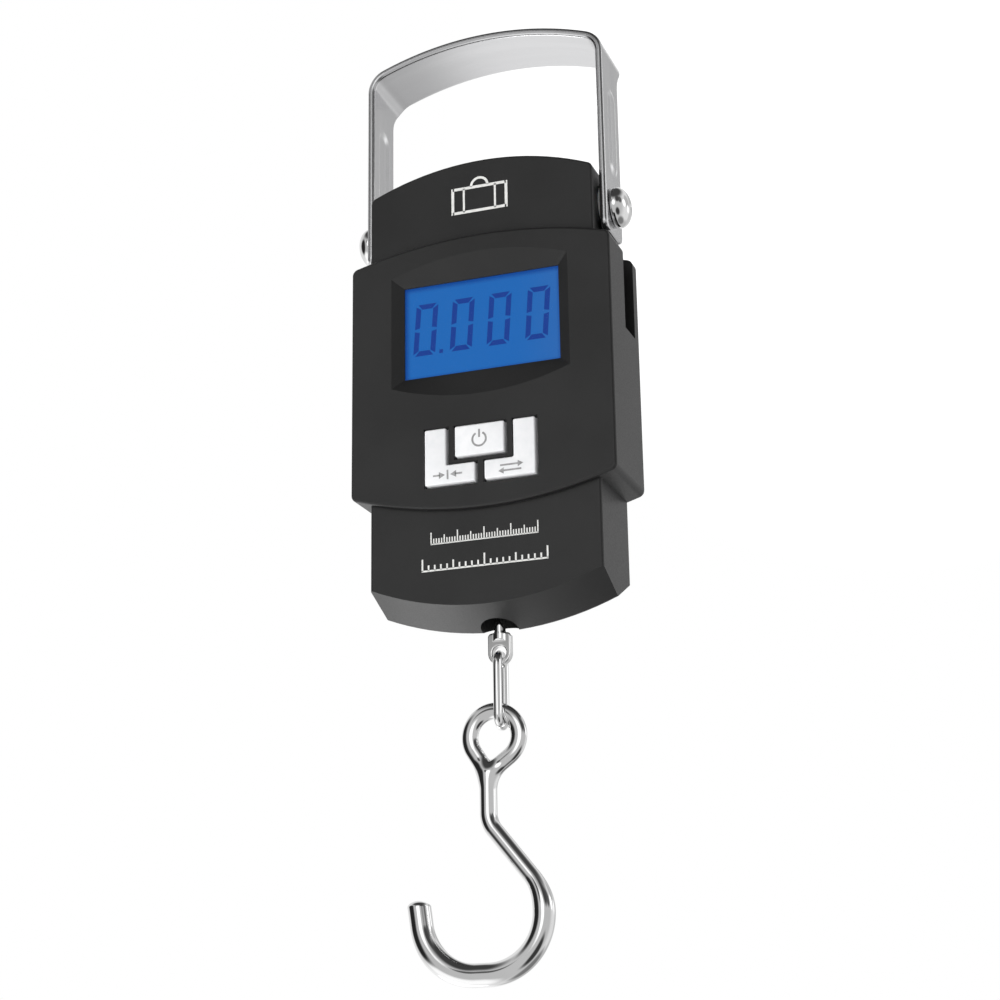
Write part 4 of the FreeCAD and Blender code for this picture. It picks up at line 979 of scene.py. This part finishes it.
def make_springs():
    """Conical contact springs wound from round wire."""
    low, high = extent("contact_springs")
    wire, turns, steps = 0.28, 3.0, 24
    wide, narrow, aside, middle_y = 3.0 - wire, 2.0 - wire, 12.0, 5.0
    spans = {"right": (aside, low[2], low[2] + 1.1, True),
             "left": (-aside, high[2] - 3.1, high[2], False)}
    for side, (x, bottom, top, wide_below) in spans.items():
        count = int(turns * steps)
        path = []
        for step in range(count + 1):
            share = step / count
            radius = wide + (narrow - wide) * (share if wide_below else 1 - share)
            angle = 2 * math.pi * turns * share
            path.append((x + radius * math.cos(angle), middle_y + radius * math.sin(angle),
                         bottom + wire + (top - bottom - 2 * wire) * share))
        new_piece(f"battery_spring_{side}", *tube(path, wire, (0, 0, 1), sides=10), "housing",
                  "contact_nickel", ["contact_springs"])


# ---- Carried-over CAD nodes

def paint_nodes():
    """Every CAD node that stays gets the material of its record slot."""
    slots = {entry["node"]: entry["material_slot"] for entry in frame["record"]["subparts"]}
    for name, node in frame["nodes"].items():
        node.data.materials.clear()
        node.data.materials.append(FINISHES[slots[name]])


# ---- Stage, light and camera

def make_floor():
    """A pale floor well below the hanging hook."""
    drop, reach = -0.75, 12.0
    mesh = bpy.data.meshes.new("floor")
    corners = ((-reach, -reach), (reach, -reach), (reach, reach), (-reach, reach))
    mesh.from_pydata([(x, y, drop) for x, y in corners], [], [(0, 1, 2, 3)])
    floor = bpy.data.objects.new("floor", mesh)
    mesh.materials.append(finish_of("floor_paper", grey(0.90), grey(0.92), (0.75, 0.85), mottle=3, grain=60,
                                    bump=0.05, Emission_Strength=0.25))
    floor.visible_glossy = False
    bpy.context.scene.collection.objects.link(floor)


FRONT_LEVEL, BACK_LEVEL = 0.55, 0.80
# Each screen is a direction, the angle that it fills, the angle where it has faded, and its
# brightness. A later screen lies over the earlier ones.
SCREENS = [
    ((0.20, 0.80, -0.55), 15, 35, 0.52),
    ((-0.46, 0.83, -0.32), 12, 30, 0.97),
    ((-0.60, -0.22, -0.77), 15, 38, 1.15),
    ((-0.60, 0.50, -0.62), 14, 30, 1.00),
    ((-0.57, 0.38, -0.73), 8, 17, 4.00),
    ((0.45, 0.30, -0.85), 14, 32, 0.20),
    ((0.81, -0.35, 0.45), 8, 18, 0.10),
    ((0.29, 0.84, 0.46), 8, 16, 0.50),
    ((0.74, 0.50, 0.44), 10, 20, 0.50),
    ((0.41, 0.90, 0.03), 10, 20, 0.60),
    ((-0.12, 0.88, 0.45), 7, 15, 1.20),
    ((0.75, 0.63, 0.20), 5, 10, 1.30),
    ((0.05, -0.20, 1.00), 28, 52, 0.05),
    ((0.55, -0.65, 0.52), 10, 22, 0.06),
    ((0.56, -0.59, -0.57), 12, 26, 0.04),
    ((0.93, 0.17, 0.32), 7, 14, 1.50),
    ((-0.90, -0.38, 0.10), 20, 36, 0.02),
    ((0.05, -0.97, 0.18), 11, 18, 1.30),
    ((-0.316, -0.868, 0.381), 5, 11, 0.10),
]


def make_world():
    """A studio of pale walls with white and dark screens, which show as streaks in the chrome."""
    world = bpy.data.worlds.new("studio")
    bpy.context.scene.world = world
    world.use_nodes = True
    tree = world.node_tree
    background = tree.nodes["Background"]
    where = tree.nodes.new("ShaderNodeTexCoord").outputs["Generated"]

    def facing(direction):
        dot = tree.nodes.new("ShaderNodeVectorMath")
        dot.operation = "DOT_PRODUCT"
        link(tree, where, dot.inputs[0])
        dot.inputs[1].default_value = Vector(direction).normalized()
        return dot.outputs["Value"]

    lit = spread(tree, facing((0, 1, 0)), FRONT_LEVEL, BACK_LEVEL, -0.3, 0.3, smooth=True)
    for direction, filled, faded, level in SCREENS:
        weight = spread(tree, facing(direction), 0.0, 1.0, math.cos(math.radians(faded)),
                        math.cos(math.radians(filled)), smooth=True)
        rest = math_node(tree, "MULTIPLY", lit, math_node(tree, "SUBTRACT", 1.0, weight))
        lit = math_node(tree, "ADD", rest, math_node(tree, "MULTIPLY", weight, level))
    path = tree.nodes.new("ShaderNodeLightPath")
    camera_white = math_node(tree, "MAXIMUM", lit, path.outputs["Is Camera Ray"])
    link(tree, camera_white, background.inputs["Strength"])
    background.inputs["Color"].default_value = (1, 1, 1, 1)


def area_light(name, place, aim, size, power):
    data = bpy.data.lights.new(name, "AREA")
    data.shape = "RECTANGLE"
    data.size, data.size_y = size
    data.energy = power
    lamp = bpy.data.objects.new(name, data)
    lamp.location = place
    lamp.rotation_euler = (Vector(aim) - Vector(place)).to_track_quat("-Z", "Y").to_euler()
    lamp.visible_glossy = False
    lamp.visible_transmission = False
    lamp.visible_camera = False
    bpy.context.scene.collection.objects.link(lamp)


def make_lights():
    middle = (0, 0, -0.12)
    area_light("front", (-0.35, -0.95, 0.10), middle, (0.6, 0.6), 4.6)
    area_light("low_left", (-0.50, -0.50, -0.60), middle, (0.5, 0.5), 5)
    area_light("top", (0.3, 0.3, 0.8), middle, (0.7, 0.7), 3)


AZIMUTH, ELEVATION, ROLL = math.radians(19.564), math.radians(-17.584), math.radians(-0.943)
CAMERA_TARGET, CAMERA_DISTANCE = Vector((0.000575, -0.0002, -0.124443)), 0.51747
LENS, SENSOR = 75.51, 36.0


def make_camera():
    data = bpy.data.cameras.new("camera")
    data.lens, data.sensor_width = LENS, SENSOR
    data.clip_start, data.clip_end = 0.01, 20
    camera = bpy.data.objects.new("camera", data)
    back = Vector((math.sin(AZIMUTH) * math.cos(ELEVATION), -math.cos(AZIMUTH) * math.cos(ELEVATION),
                   math.sin(ELEVATION)))
    level = Vector((math.cos(AZIMUTH), math.sin(AZIMUTH), 0))
    upright = back.cross(level)
    right = level * math.cos(ROLL) + upright * math.sin(ROLL)
    up = upright * math.cos(ROLL) - level * math.sin(ROLL)
    turned = Matrix((right, up, back)).transposed().to_4x4()
    camera.matrix_world = Matrix.Translation(CAMERA_TARGET + back * CAMERA_DISTANCE) @ turned
    bpy.context.scene.collection.objects.link(camera)
    bpy.context.scene.camera = camera


# ---- Everything together

paint_nodes()
make_handle()
make_rivets()
make_stem()
make_link()
make_hook()
make_keys()
make_marks()
make_digits()
make_screws()
make_door()
make_batteries()
make_springs()
make_floor()
make_world()
make_lights()
make_camera()
bpy.context.scene.view_settings.view_transform = "Standard"
